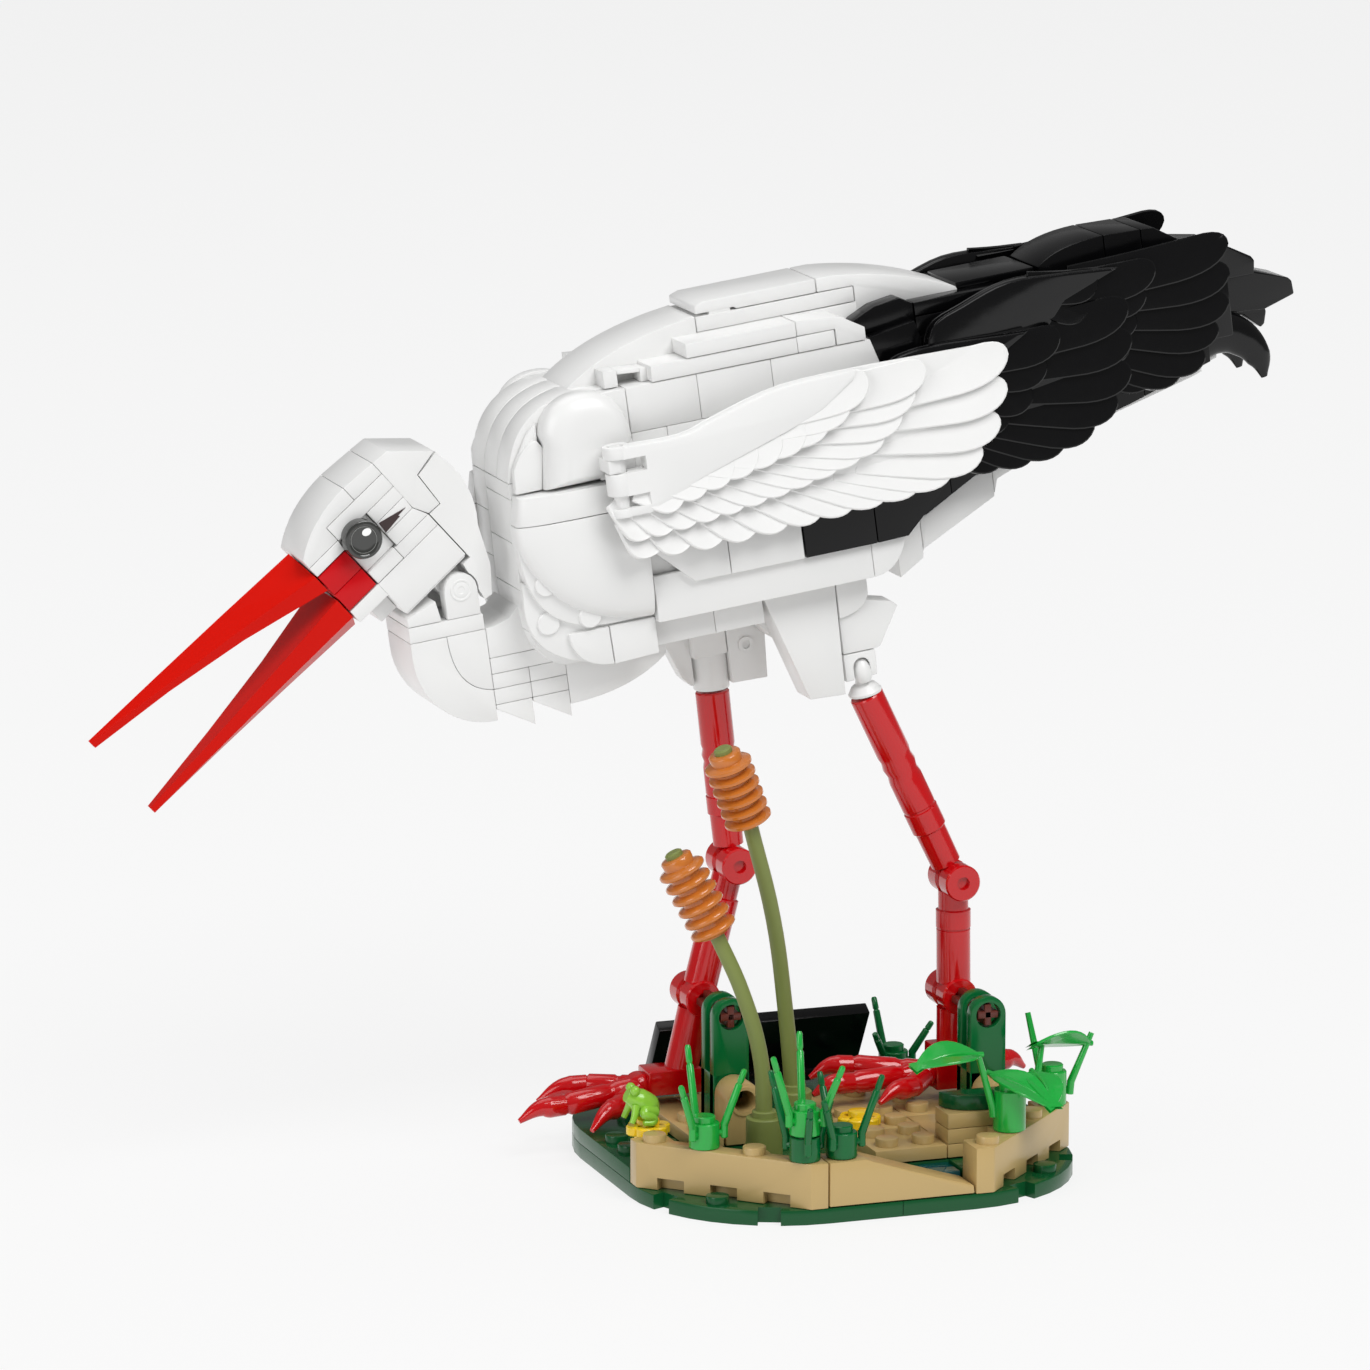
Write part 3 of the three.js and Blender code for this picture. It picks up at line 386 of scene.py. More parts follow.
class Recipe:
    """A finish, built up from nodes around one Principled shader."""

    def __init__(self, name):
        self.material = bpy.data.materials.new(name)
        self.material.use_nodes = True
        self.tree = self.material.node_tree
        self.shader = self.tree.nodes["Principled BSDF"]

    def node(self, kind, settings=None, inputs=None, output=0):
        """Adds a node, sets it and feeds its sockets; gives one of its outputs."""
        node = self.tree.nodes.new("ShaderNode" + kind)
        for name, value in (settings or {}).items():
            setattr(node, name, value)
        for name, value in (inputs or {}).items():
            self.feed(node.inputs[name], value)
        return Value(self, node.outputs[output])

    def feed(self, socket, value):
        if isinstance(value, Value):
            self.tree.links.new(value.socket, socket)
        else:
            socket.default_value = value

    def surface(self, **sockets):
        for name, value in sockets.items():
            self.feed(self.shader.inputs[name.replace("_", " ")], value)
        return self.material

    def place(self):
        return self.node("TexCoord", output=3)

    def noise(self, scale, detail):
        return self.node("TexNoise", None, {"Vector": self.place(), "Scale": scale, "Detail": detail})

    def mix(self, factor, a, b):
        """A colour between a and b."""
        return self.node("Mix", {"data_type": "RGBA"}, {0: factor, 6: a, 7: b}, output=2)

    def bump(self, height, depth):
        return self.node("Bump", None, {"Height": height, "Distance": depth})


def linear(hex_colour):
    """A colour from its hexadecimal name, in the renderer's linear light."""
    parts = [int(hex_colour[i:i + 2], 16) / 255 for i in (1, 3, 5)]
    return tuple(c / 12.92 if c < 0.04045 else ((c + 0.055) / 1.055) ** 2.4 for c in parts) + (1.0,)


def grey(level):
    return (level, level, level, 1)


def tone(colour, factor):
    return tuple(min(1.0, c * factor) for c in colour[:3]) + (1.0,)


def moulded(name, tint, roughness, coat=0.0, waviness=0.6, mottle=0.03, shine=0.5):
    """Injection-moulded plastic: an even tone with a slight cloudiness, a skin that isn't quite flat
    and a fine haze left by the mould."""
    recipe = Recipe(name)
    colour = linear(tint)
    cloud = recipe.noise(60, 3)
    haze = recipe.noise(900, 2)
    skin = recipe.noise(220, 1)
    base = recipe.mix(cloud, tone(colour, 1 - mottle), tone(colour, 1 + mottle))
    height = skin * waviness + haze * 0.05
    return recipe.surface(
        Base_Color=base, Roughness=roughness + (cloud - 0.5) * 0.08 + (haze - 0.5) * 0.06,
        Normal=recipe.bump(height, 0.00004), Coat_Weight=coat, Coat_Roughness=0.06,
        IOR=1.5, Specular_IOR_Level=shine,
    )


WHITE = moulded("white_abs", "#e9e9e8", 0.34, coat=0.1)
WHITE_SATIN = moulded("white_wing_plastic", "#ebebea", 0.4)
BLACK = moulded("black_abs", "#070708", 0.2, mottle=0.12, shine=0.28)
BLACK_GLOSS = moulded("black_wing_plastic", "#060607", 0.16, waviness=1.2, mottle=0.12, shine=0.4)
BILL_RED = moulded("bill_red_abs", "#cd1206", 0.3, shine=0.1)
LEG_RED = moulded("leg_red_abs", "#c4040c", 0.14, coat=0.3)
DARK_GREEN = moulded("dark_green_abs", "#0b4f28", 0.2, mottle=0.06, shine=0.35)
SUPPORT_GREEN = moulded("green_abs", "#00642f", 0.2, shine=0.4)
BRIGHT_GREEN = moulded("leaf_green_plastic", "#14a83c", 0.22, coat=0.4, mottle=0.06)
TAN = moulded("tan_abs", "#bea26a", 0.32, coat=0.1)
OLIVE = moulded("olive_rubber", "#7c8746", 0.45)
ORANGE = moulded("cattail_plastic", "#c8742a", 0.2, coat=0.4, mottle=0.08)
LIME = moulded("lime_plastic", "#8cc63a", 0.24, coat=0.3)
YELLOW = moulded("yellow_plastic", "#f4cc18", 0.24, coat=0.3)
TEAL = moulded("pond_tile", "#04525c", 0.1, coat=0.6)
BROWN = moulded("axle_brown", "#5f2a20", 0.3)

CHEEK_RED = moulded("cheek_red_abs", "#c80812", 0.24, shine=0.25)
EYE_GREY = moulded("eye_grey", "#333432", 0.14, coat=0.6)
EYE_RING = moulded("eye_ring_print", "#8a8b88", 0.3)
EYE_GLINT = moulded("eye_glint_print", "#fbfbfa", 0.3)
STREAK = moulded("streak_print", "#3a2a2a", 0.4)


# ---- laying bricks ----
def within(points, x0, x1, z0, z1):
    """The part of an outline that lies inside a rectangle."""
    for axis, limit, sign in ((0, x0, 1), (0, x1, -1), (1, z0, 1), (1, z1, -1)):
        kept = []
        for a, b in zip(points, points[1:] + points[:1]):
            inside, after = sign * (a[axis] - limit), sign * (b[axis] - limit)
            if inside >= 0:
                kept.append(a)
            if inside * after < 0:
                t = inside / (inside - after)
                kept.append((a[0] + t * (b[0] - a[0]), a[1] + t * (b[1] - a[1])))
        points = kept
    return points


def area(points):
    return abs(sum(a[0] * b[1] - b[0] * a[1] for a, b in zip(points, points[1:] + points[:1]))) / 2


def tidy(points):
    """Leaves out points that nearly coincide."""
    return [p for p, q in zip(points, points[1:] + points[:1]) if math.dist(p, q) > 0.25]


def courses(outline, y0, y1, rows, edge=EDGE):
    """Bricks laid in rows within an outline: each row is (bottom, top, joints from front to back)."""
    bricks = []
    points = curved(outline)
    for bottom, top, joints in rows:
        for x0, x1 in zip(joints, joints[1:]):
            part = tidy(within(points, x0, x1, bottom, top))
            if len(part) > 2 and area(part) > 1:
                bricks.append(side(part, y0, y1, edge=edge))
    return bricks


def domed(outline, y0, wall, out, centre, shrink, steps=8, upright=1.0):
    """A boss on the near side: a wall out from y0, then the outline moves out further while it shrinks
    towards the centre, as a quarter of an ellipse does.  upright is the height's part in that."""
    piece = drawn(outline, -wall, start=y0, seam=SEAM, edge=0)
    edit(lambda middle, normal: middle.y < y0 - wall + 0.01 and abs(normal.y) > 0.9)
    y, scale = y0 - wall, 1.0
    for i in range(1, steps + 1):
        t = math.pi / 2 * i / steps
        goal, size = y0 - wall - out * math.sin(t), 1 - shrink * (1 - math.cos(t))
        bpy.ops.mesh.extrude_region_move(TRANSFORM_OT_translate={"value": (0, goal - y, 0)})
        ratio = size / scale
        bpy.ops.transform.resize(
            value=(ratio, 1, 1 + (ratio - 1) * upright), center_override=(centre[0], goal, centre[1]),
        )
        y, scale = goal, size
    return broken(closed(), EDGE, angle=40)


def stud(x, y, z):
    """A bare stud, its top edge rounded over."""
    return shifted(turned([(0, STUD_R), (STUD_H - 0.25, STUD_R), (STUD_H - 0.06, STUD_R - 0.08),
                           (STUD_H, STUD_R - 0.3)], 24), x, y, z)


def studs_at(places, z):
    return [stud(x, y, z - SUNK) for x, y in places]


# ---- head ----
def build_skull():
    half = NECK_HALF
    bricks = [
        [(-13.6, 31), (-7, 36, 8), (2.6, 36), (2.6, 32.4), (-5.4, 32.4), (-5.4, 28.8), (-13.6, 28.8)],
        [(2.6, 36), (10.4, 35.4), (10.4, 32.3), (2.6, 32.4)],
        [(-5.4, 32.4), (10.4, 32.3), (10.4, 28.6), (-5.4, 28.6)],
        [(-13.6, 28.8), (-5.4, 28.8), (-5.7, 26.3), (-13.6, 26.3)],
        box(2.6, 10.4, 25.5, 28.6),
        [(2.6, 25.5), (10.4, 25.5), (10.2, 22.4), (2.6, 22.4)],
        [(2.6, 22.4), (10.2, 22.4), (11.7, 19.1), (2.6, 19.1)],
        box(1.9, 11.7, 16, 19.1),
        box(-5.6, 11.7, 7.2, 16),
        [(10.4, 35.4), (14.2, 35), (21.4, 27.8), (15.5, 26.7), (14.9, 18.9), (11.8, 19.1), (10.2, 22.4)],
    ]
    # The nape is one long curved piece: its upper and lower lengths lie flush.
    nape = [
        [(21.4, 27.4), (23.4, 17, 8), (17.6, 9.9), (11.88, 9.9), (11.88, 18.9), (14.95, 18.8), (15.6, 26.5)],
        [(17.6, 9.9), (14, 2), (10, -2.9), (11.9, 6.1), (11.88, 9.9)],
    ]
    pieces = [spanning(outline, half) for outline in bricks]
    pieces += [spanning(outline, half, seam=0, edge=0) for outline in nape]
    pieces += [
        brick(-5.5, 2.5, -half + 1, half - 1, 19.3, 28.5),  # the eye's recess
        brick(-5.5, 1.9, -half, half, 16.1, 19.3),
        brick(-13.6, -5.5, -half, half, 12.8, 16.1),
        brick(-10, -5.6, -TONGUE_HALF, TONGUE_HALF, 8.2, 12.8),
        brick(-5.3, 11.4, -half + 0.5, half - 0.5, 6.7, 7.2),
    ]
    # The nape closes round the neck's pin plate, and leaves it room to turn.
    x, z = HINGE
    lip = drawn([(8.3, -2.6), (10, -2.9), (11.9, 6.1), (9.9, 6.1)], 3.4, start=-half + SEAM, seam=0, edge=0)
    pieces += both(cut(lip, outward(rod(3.85, -20, 20, 32), x, 0, z)))
    tongue = spanning([(x + 3.2, 7.2), (x - 3.2, 7.2), *arc(x, z, 3.2, 180, 360)], TONGUE_HALF)
    pieces.append(cut(tongue, outward(rod(BAR_R + 0.3, -20, 20), x, 0, z)))
    finished("skull", pieces, WHITE, "head", place=HEAD, body="head")
    cheeks = [brick(-13.6, -5.8, -half, half, 21, 26.1), brick(-13.6, -5.8, -half, half, 16.3, 21)]
    finished("red_cheeks", cheeks, CHEEK_RED, "cheek", place=HEAD, body="head")


def build_eyes():
    """A round tile with a raised rim on each side, printed with a ring and a glint."""
    for name, mirror in (("near", False), ("far", True)):
        def place(piece, y=-NECK_HALF + 1.0, x=0.0, z=0.0):
            outward(piece, EYE[0] + x, y, EYE[1] + z)
            return reflected(piece) if mirror else piece

        tile = place(turned([
            (0, 3.2), (0.9, 3.2), (0.9, 4), (3.7, 4), (4, 3.86), (4.14, 3.6), (4.14, 3.3), (3.98, 3.1),
            (3.9, 2), (3.86, 0.6),
        ], 48))
        finished("eye_tile_" + name, [tile], EYE_GREY, "eye_" + name, place=HEAD, body="head")
        deselect()
        bpy.ops.mesh.primitive_torus_add(
            major_radius=2.72, minor_radius=0.06, major_segments=48, minor_segments=6, location=(0, 0, 3.93),
        )
        finished("eye_ring_" + name, [place(bpy.context.object)], EYE_RING, place=HEAD, body="head")
        glint = turned([(3.9, 0.8), (4.0, 0.8), (4.03, 0.7)], 24)
        moved(glint, Matrix.Diagonal((1.25, 0.95, 1, 1)))
        turn(glint, -20, "Z")
        finished("eye_glint_" + name, [place(glint, x=1.5, z=0.8)], EYE_GLINT, place=HEAD, body="head")
        streak = [(3.0, 25.3), (9.2, 23.6), (7.0, 23.5), (7.1, 23.1), (6.5, 23.1), (2.75, 22.75)]
        mark = side(streak, -NECK_HALF - 0.12, -NECK_HALF + 0.1, seam=0, edge=0)
        mark = reflected(mark) if mirror else mark
        finished("eye_streak_" + name, [mark], STREAK, place=HEAD, body="head")


# ---- neck ----
def build_neck():
    throat = [(-71.7, -5.9), (-80, -4.6, 12), (-80.1, 7.05)]
    rows = (-5.9, -2.7), (-9.2, -5.9)
    bricks = [
        box(-88, -71.8, 7.05, 10.4),
        [*arc(-72, 3.5, 16, 180, 270, 14), (-71.7, -12.5), *throat, (-88, 7.05)],
        [*throat, (-71.7, 7.05)],
        [(-71.7, 7.2), (-69.8, 7.3), (-66.5, 8.3), (-64.2, 10.6), (-62.6, 14), (-58, 14), (-58, 0.7),
         (-71.7, 0.7)],
        box(-71.7, -50, -2.7, 0.7),
        *(box(x0, x1, z0, z1) for x0, x1 in ((-71.7, -63.7), (-63.7, -55.8)) for z0, z1 in rows),
        [(-71.7, -9.2), (-63.8, -9.2), (-63.8, -15), (-71.7, -10.2)],
        [(-63.7, -9.2), (-55.8, -9.2), (-55.8, -14.9), (-63.7, -10.1)],
        [(-55.8, -2.7), (-55.8, -12.3), (-42, -12.2, 8), (-33.9, -5.9), (-33.9, -2.7)],
    ]
    pieces = [spanning(outline, NECK_HALF) for outline in bricks]
    chin_rest = [(-88, 10.4), (-88, 12.3), (-81.4, 15), (-80.6, 10.4)]
    pieces.append(spanning(chin_rest, NECK_HALF, edge=0.3))
    x, z = PIN
    pin_plate = [(x - 3.6, 10.4), (x + 3.6, 10.4), *arc(x, z, 3.6, 0, 180)]
    pieces += both(side(pin_plate, -NECK_HALF, -TONGUE_HALF - 0.3))
    for stations in (
        [(0, 1.55), (7.6, 1.55), (8.1, 1.55), (8.15, 1.45), (8.15, 0.8), (8.05, 0.68), (6.6, 0.66)],
        [(7.6, 2.3), (8.06, 2.3), (8.16, 2.2), (8.16, 1.9), (8.06, 1.8)],
    ):
        pieces += both(outward(turned(stations, 28), x, 0, z))
    finished("neck_bricks", pieces, WHITE, "neck", place=TRUNK)


# ---- breast ----
def build_breast():
    front = [(-37.9, -2.9), (-57, -2.9), (-62.5, -1.5, 8), (-64, 6), (-64.6, 14), (-64, 37), (-62.4, 51, 12),
             (-49, 53), (-37.9, 52.4)]
    whole = (-70, -37.9)
    # The joints between the bricks lie at other heights on the far half.
    near_beds, far_beds = (-3, 5.6, 14.4, 24, 33.4, 36.7), (-3, 9.2, 18.8, 28.5, 36.7)
    pieces = []
    for y0, y1, beds in ((-BREAST_HALF, 4, near_beds), (4, BREAST_HALF, far_beds)):
        pieces += courses(front, y0, y1, [(bottom, top, whole) for bottom, top in zip(beds, beds[1:])])
    for y0 in (-BREAST_HALF, -4, 4):
        pieces += courses(front, y0, y0 + STUD, [(36.7, 60, whole)], edge=0.3)
    finished("breast_bricks", pieces, WHITE, "breast", place=TRUNK)

    y0 = -BREAST_HALF - 0.15
    back = -38.2
    lip = [(back, -2.9), (-52.9, -2.7), (-65, 0.4, 12), (-65, 11), (-64.6, 16.4), (back, 8)]
    rim = [(back, 4.6), (-46.1, 4.6), (-63.4, 4.4, 14), (-64.8, 21), (-64.8, 28), (back, 28)]
    corner = [(-47.8, 4.2), (-56.6, 4.2), (-56.2, -3.4, 10), (-47.6, -3.9)]
    panel = [(back, 28.4), (-65, 28.4), (-65, 24), (-59.4, 6.6, 14), (-40.4, 4.8), (back, 4.7)]
    band = [(back, 34.4), (-63.6, 34.4), (-64.9, 28.5), (back, 28.5)]
    shells = [
        side(lip, y0 - 2.2, y0, edge=0.3),
        side(rim, y0 - 3.5, y0, edge=0.3),
        side(corner, y0 - 3.4, y0, edge=0.25),
        side([(-47.7, 4.2), (-47.5, -3.9), (-37.8, -3.5), (-37.8, 4.2)], y0 - 3.4, y0),
        domed(panel, y0, 3.9, 3.2, (back, 28.4), 0.5),
        domed(band, y0, 3.9, 3.2, (back, 28.4), 0.5, upright=0),
    ]
    # Half-hidden round plates: two on the rim below the panel, one on the lip.
    for x, z, out in ((-60.1, 15.5, 4.2), (-51.7, 7.2, 4.2), (-60.3, 7.1, 2.8)):
        button = turned([(0, 2.4), (out - 0.2, 2.4), (out, 2.2)], 28)
        shells.append(outward(button, x, y0, z))
    finished("breast_panels", both(*shells), WHITE, "breast_shell_near", "breast_shell_far", place=TRUNK)


def build_shoulders():
    y0 = -BREAST_HALF - 0.2
    plate = [(-63.4, 34.7), (-57.6, 34.7), (-56.3, 43.4), (-57.4, 45), (-58, 45.2), (-61.4, 44, 5),
             (-63.2, 39.6)]
    raised = [(-56.9, 48.6), (-62.2, 44.6, 6), (-62.6, 36), (-57, 36)]
    dome = [(-37.6, 42.6), (-46.2, 42.3), (-46.2, 34.8), (-57.6, 34.7), (-56.4, 43.9), (-56.9, 46),
            (-55.6, 52, 8), (-49.6, 53.2), (-38.9, 54.6, 12), (-37.6, 42.9)]
    x, y = CLIP
    bar = turned([(28.4, 1.35), (28.6, BAR_R), (42.2, BAR_R), (42.4, 1.35)], 24)
    pieces = [
        side(plate, y0 - 2.2, y0, edge=0.3),
        side(raised, y0 - 1.1, y0, edge=0.3),
        domed(dome, y0, 2.4, 4.0, (-44, 40), 0.42, steps=9),
        brick(-46, -38.2, y0 - 5.4, y0, 34.9, 42.4),
        brick(-44, -37.7, y0 - 3.2, y0, 42.6, 52.3),
        # The clip's bar hangs from an arm that comes out of the shoulder.
        brick(x - 2.6, x + 0.4, y - 1.9, y0 - 5, 37.2, 40.3, edge=0.4),
        shifted(bar, x, y),
    ]
    finished("shoulders", both(*pieces), WHITE, "shoulder_near", "shoulder_far", place=TRUNK)


# ---- trunk ----
def build_trunk():
    half = TRUNK_HALF - 0.3
    belly = box(-37.7, -13.2, -2.9, 3.1)
    wall = [(-37.7, 3.1), (9.8, 3.1), (14, 6), (17, 11), (17.4, 49), (17.8, 52.4), (-37.7, 52.4)]
    pieces = courses(belly, -BREAST_HALF, BREAST_HALF, [(-3, 3.1, (-37.7, -24, -13.2))])
    pieces.append(brick(-13.3, 10, -BREAST_HALF, BREAST_HALF, 2, 4, edge=0))
    pieces += courses(wall, -half, half, [
        (3.1, 12.8, (-37.7, -22, -6, 20)),
        (12.8, 22.4, (-37.7, -30, -14, 2, 20)),
        (22.4, 32, (-37.7, -22, -6, 20)),
        (32, 42.9, (-37.7, -30, -14, 2, 20)),
        (42.9, 52.4, (-37.7, -22.3, -6.1, 20)),
    ])
    finished("trunk_walls", pieces, WHITE, "trunk", place=TRUNK)

    plank = [(-37.7, 3.2), (9.9, 3.2), (15.6, 3.4, 8), (17.6, 10.2), (17.6, 13), (-37.7, 13)]
    slant = [(-38, 20), (-38, 19), (-29.3, 10.6), (-21.4, 10.6), (-21.4, 20)]
    out = -TRUNK_HALF - PLATE
    pieces = [
        *courses(plank, -TRUNK_HALF - 1.6, -TRUNK_HALF, [(3, 13, (-38, 9.9, 20))]),
        side(slant, out, -TRUNK_HALF),
        side(box(-21.3, -5.2, 10.6, 20), out, -TRUNK_HALF),
    ]
    finished("flank_planks", both(*pieces), WHITE, "flank_near", "flank_far", place=TRUNK)
    dark = [
        side(box(-4.9, 10.9, 10.6, 26), out, -TRUNK_HALF),
        side([(11, 10.6), (17.8, 10.8), (22.6, 15.2), (28, 20.5), (28, 26), (11, 26)], out, -TRUNK_HALF),
    ]
    finished("flank_tiles", both(*dark), BLACK, "flank_dark_near", "flank_dark_far", place=TRUNK)


def build_back():
    half = TRUNK_HALF
    saddle = [(-47.9, 52.2), (-47.9, 52.9), (-37.5, 60.6, 14), (-18.5, 62.6), (-18.5, 52.2)]
    crest = [(-18.4, 62.8), (-18.4, 64.6), (-16.4, 65.3), (8.3, 65.4), (8.3, 62.4), (-9.6, 62.4),
             (-9.6, 62.8)]
    fall = [(12, 65.4), (27, 64, 12), (40, 57.4), (36, 56), (16.4, 56), (16.4, 62.3), (8.4, 62.4),
            (8.4, 65.4)]
    step = [(0.1, 56), (8.5, 55.9), (8.5, 52.5), (15, 52.5), (15, 55.2), (9.8, 58.3), (0.1, 59.2)]
    pieces = [
        # the broad step, in two rows, and the slope that ends it
        brick(-32, 0, -half, half, 52.5, 55.9),
        brick(0, 8.3, -half, half, 52.5, 55.9),
        brick(-24.1, 0, -half - 0.3, half + 0.3, 56, 59.1),
        spanning(step, half),
        # the ridge, two studs wide
        spanning(saddle, NECK_HALF, edge=0.25),
        brick(-18.4, 16.3, -NECK_HALF, NECK_HALF, 59.1, 62.3),
        spanning(crest, NECK_HALF, edge=0.3),
        spanning(fall, NECK_HALF, edge=0.3),
        brick(-20, 36, -NECK_HALF + 0.1, NECK_HALF - 0.1, 52.2, 59),
    ]
    pieces += both(outward(rod(2.4, 0, 7.8, 20), -13, 0, 62))
    # Small clips beside the ridge.
    pieces += both([side(outline, -BREAST_HALF - 1.2, -NECK_HALF) for outline in (
        [(-41.4, 52.4), (-41.4, 56.1), (-38.3, 55.8), (-38.3, 52.4)],
        [(-38.4, 54.9), (-38.4, 55.8), (-33.4, 55.4), (-33.4, 54.5)],
        [(-33.5, 52.4), (-33.5, 55.4), (-31.5, 55.2), (-31.5, 52.4)],
    )])
    finished("back_bricks", pieces, WHITE, "back", place=TRUNK)


# ---- feathers ----
def spline(knots, steps=12):
    """A smooth curve through the knots, as a list of points."""
    def between(a, b, c, d, t):
        return b + t * (c - a + t * (2 * a - 5 * b + 4 * c - d + t * (3 * b - a - 3 * c + d))) / 2

    ends = [knots[0], *knots, knots[-1]]
    points = []
    for four in zip(ends, ends[1:], ends[2:], ends[3:]):
        points += [tuple(between(*values, i / steps) for values in zip(*four)) for i in range(steps)]
    return points + [knots[-1]]


def along(points, fraction):
    """The point at a fraction of the way along a curve."""
    lengths = [math.dist(p, q) for p, q in zip(points, points[1:])]
    left = fraction * sum(lengths)
    for p, q, length in zip(points, points[1:], lengths):
        if left <= length:
            t = left / length
            return tuple(a + t * (b - a) for a, b in zip(p, q))
        left -= length
    return points[-1]


def feather():
    """One vane three long and one wide: its tip at the origin, its root back along -x, its face to -y.
    The tip leans to the upper side, a broken rim runs round a slightly hollow face, and the vane bends a
    little on its way to the root."""
    tip = [(-1.1, -0.5), (-0.16, -0.46, 7), (0, 0.1), (0.04, 0.46, 5), (-0.4, 0.5)]
    shaft = (-3, -2.5, -2, -1.5)
    vane = [(x, -0.5) for x in shaft] + tip + [(x, 0.5) for x in reversed(shaft)]
    piece = drawn(vane, -0.9, seam=0, edge=0)
    edit(lambda centre, normal: normal.y < -0.9)
    for rim, rise in ((0.03, 0.2), (0.2, -0.14)):
        bpy.ops.mesh.inset(thickness=rim, use_even_offset=True)
        bpy.ops.transform.translate(value=(0, -rise, 0))
    close_edit()
    for vertex in piece.data.vertices:
        vertex.co.z += 0.12 * (vertex.co.x / 3) ** 2
    return piece


def row(model, reach, count, spread, length, width, y, roll=-13.0, sink=1.7):
    """A row of feathers whose tips follow the curve: spread(t), length(t) and width(t) give each one's
    direction in degrees and its size.  Lower edges stand out and roots sink in."""
    curve = spline(reach)
    vanes = []
    for i in range(count):
        t = (i + 0.5) / count
        (u, w), angle = along(curve, t), spread(t)
        size = Matrix.Diagonal((length(t) / 3, 1, width(t), 1))
        lie = (
            Matrix.Translation((u, y, w))
            @ Matrix.Rotation(math.radians(-angle), 4, "Y")
            @ Matrix.Rotation(-math.asin(sink / length(t)), 4, "Z")
            @ Matrix.Rotation(math.radians(roll), 4, "X")
        )
        vanes.append(moved(copied(model), lie @ size))
    return vanes


def ramp(start, change):
    """A measure that changes evenly from a row's first feather to its last."""
    return lambda t: start + change * t


def wing_moulding(lead, rows, root, y):
    """A wing: a smooth root that runs out into rows of feathers, the longest row lowest."""
    lead = spline(lead, 4)
    model = feather()
    pieces = []
    for reach, count, spread, length, width, lift in rows:
        pieces += row(model, reach, count, spread, length, width, y - lift)
    bpy.data.objects.remove(model)
    # What lies under the feathers, and the smooth root over the first row.
    (inner, back), (outer, front) = root
    pieces.append(side(lead + inner, y - back, y + 0.9, edge=0.35))
    pieces.append(side(lead[:-1] + outer, y - front, y, edge=0.5))
    return pieces


def build_white_wings():
    lead = [(-43.8, 42.8), (-38, 42.6), (-32.4, 42.5), (-27.9, 43), (-21.9, 44.9), (-7.2, 48.4), (12.6, 48.9)]
    long_tips = [(42.2, 48), (42.4, 40.7), (37.6, 27.6), (28.7, 22.6), (8, 20.2), (-22, 18.4), (-43.2, 18.6)]
    middle_tips = [(25.7, 47), (20.5, 39.4), (14, 33), (3, 29.3), (-14, 25.8), (-30, 23.6), (-43, 22.2)]
    short_tips = [(13.4, 47), (5, 40.2), (-4, 36.8), (-16, 33.6), (-29, 30), (-34, 28)]
    rows = [  # tips, count, direction, length, width and height over the moulding
        (long_tips, 14, lambda t: 10 - 60 * t ** 0.75 - 30 * t ** 14, ramp(34, -25), ramp(9.2, -2), 0.3),
        (middle_tips, 14, lambda t: 9 - 53 * t ** 0.75 - 30 * t ** 14, ramp(26, -16), ramp(8, -1.6), 1.1),
        (short_tips, 9, ramp(9, -35), ramp(22, -12), ramp(8.2, -0.6), 2),
    ]
    under = [(36, 48.4), (37, 40), (31, 30), (20, 26.5), (0, 25), (-24, 23.6), (-41, 23.5), (-43.8, 28.2)]
    over = [(8, 47), (0.6, 42), (-7.5, 39), (-18, 35.8), (-27, 33), (-34, 30), (-38.6, 28.1), (-43.8, 28.1)]
    wing = wing_moulding(lead, rows, ((under, 0.1), (over, 2.75)), CLIP[1])
    # Three rings clip on the shoulder's bar, and two windows open between them.
    x, y = CLIP
    for skin in wing[-2:]:
        bore = shifted(rod(BAR_R + 0.2, 20, 50), x, y)
        windows = (37.2, 40.2), (29.9, 32.6)
        cut(skin, bore, *(brick(x - 4, x + 5.4, y - 4, y + 4, z0, z1, edge=0) for z0, z1 in windows))
    pieces = wing + [
        shifted(broken(washer(BAR_R + 0.15, 2.8, z0, z1), 0.25), x, y)
        for z0, z1 in ((40.2, 42.8), (32.6, 37.2), (28.1, 29.9))
    ]
    near = joined(pieces)
    far = reflected(copied(near))
    finished("white_wing_near", [near], WHITE_SATIN, "wing_near", place=TRUNK, body="wing_near")
    finished("white_wing_far", [far], WHITE_SATIN, "wing_far", place=TRUNK, body="wing_far")


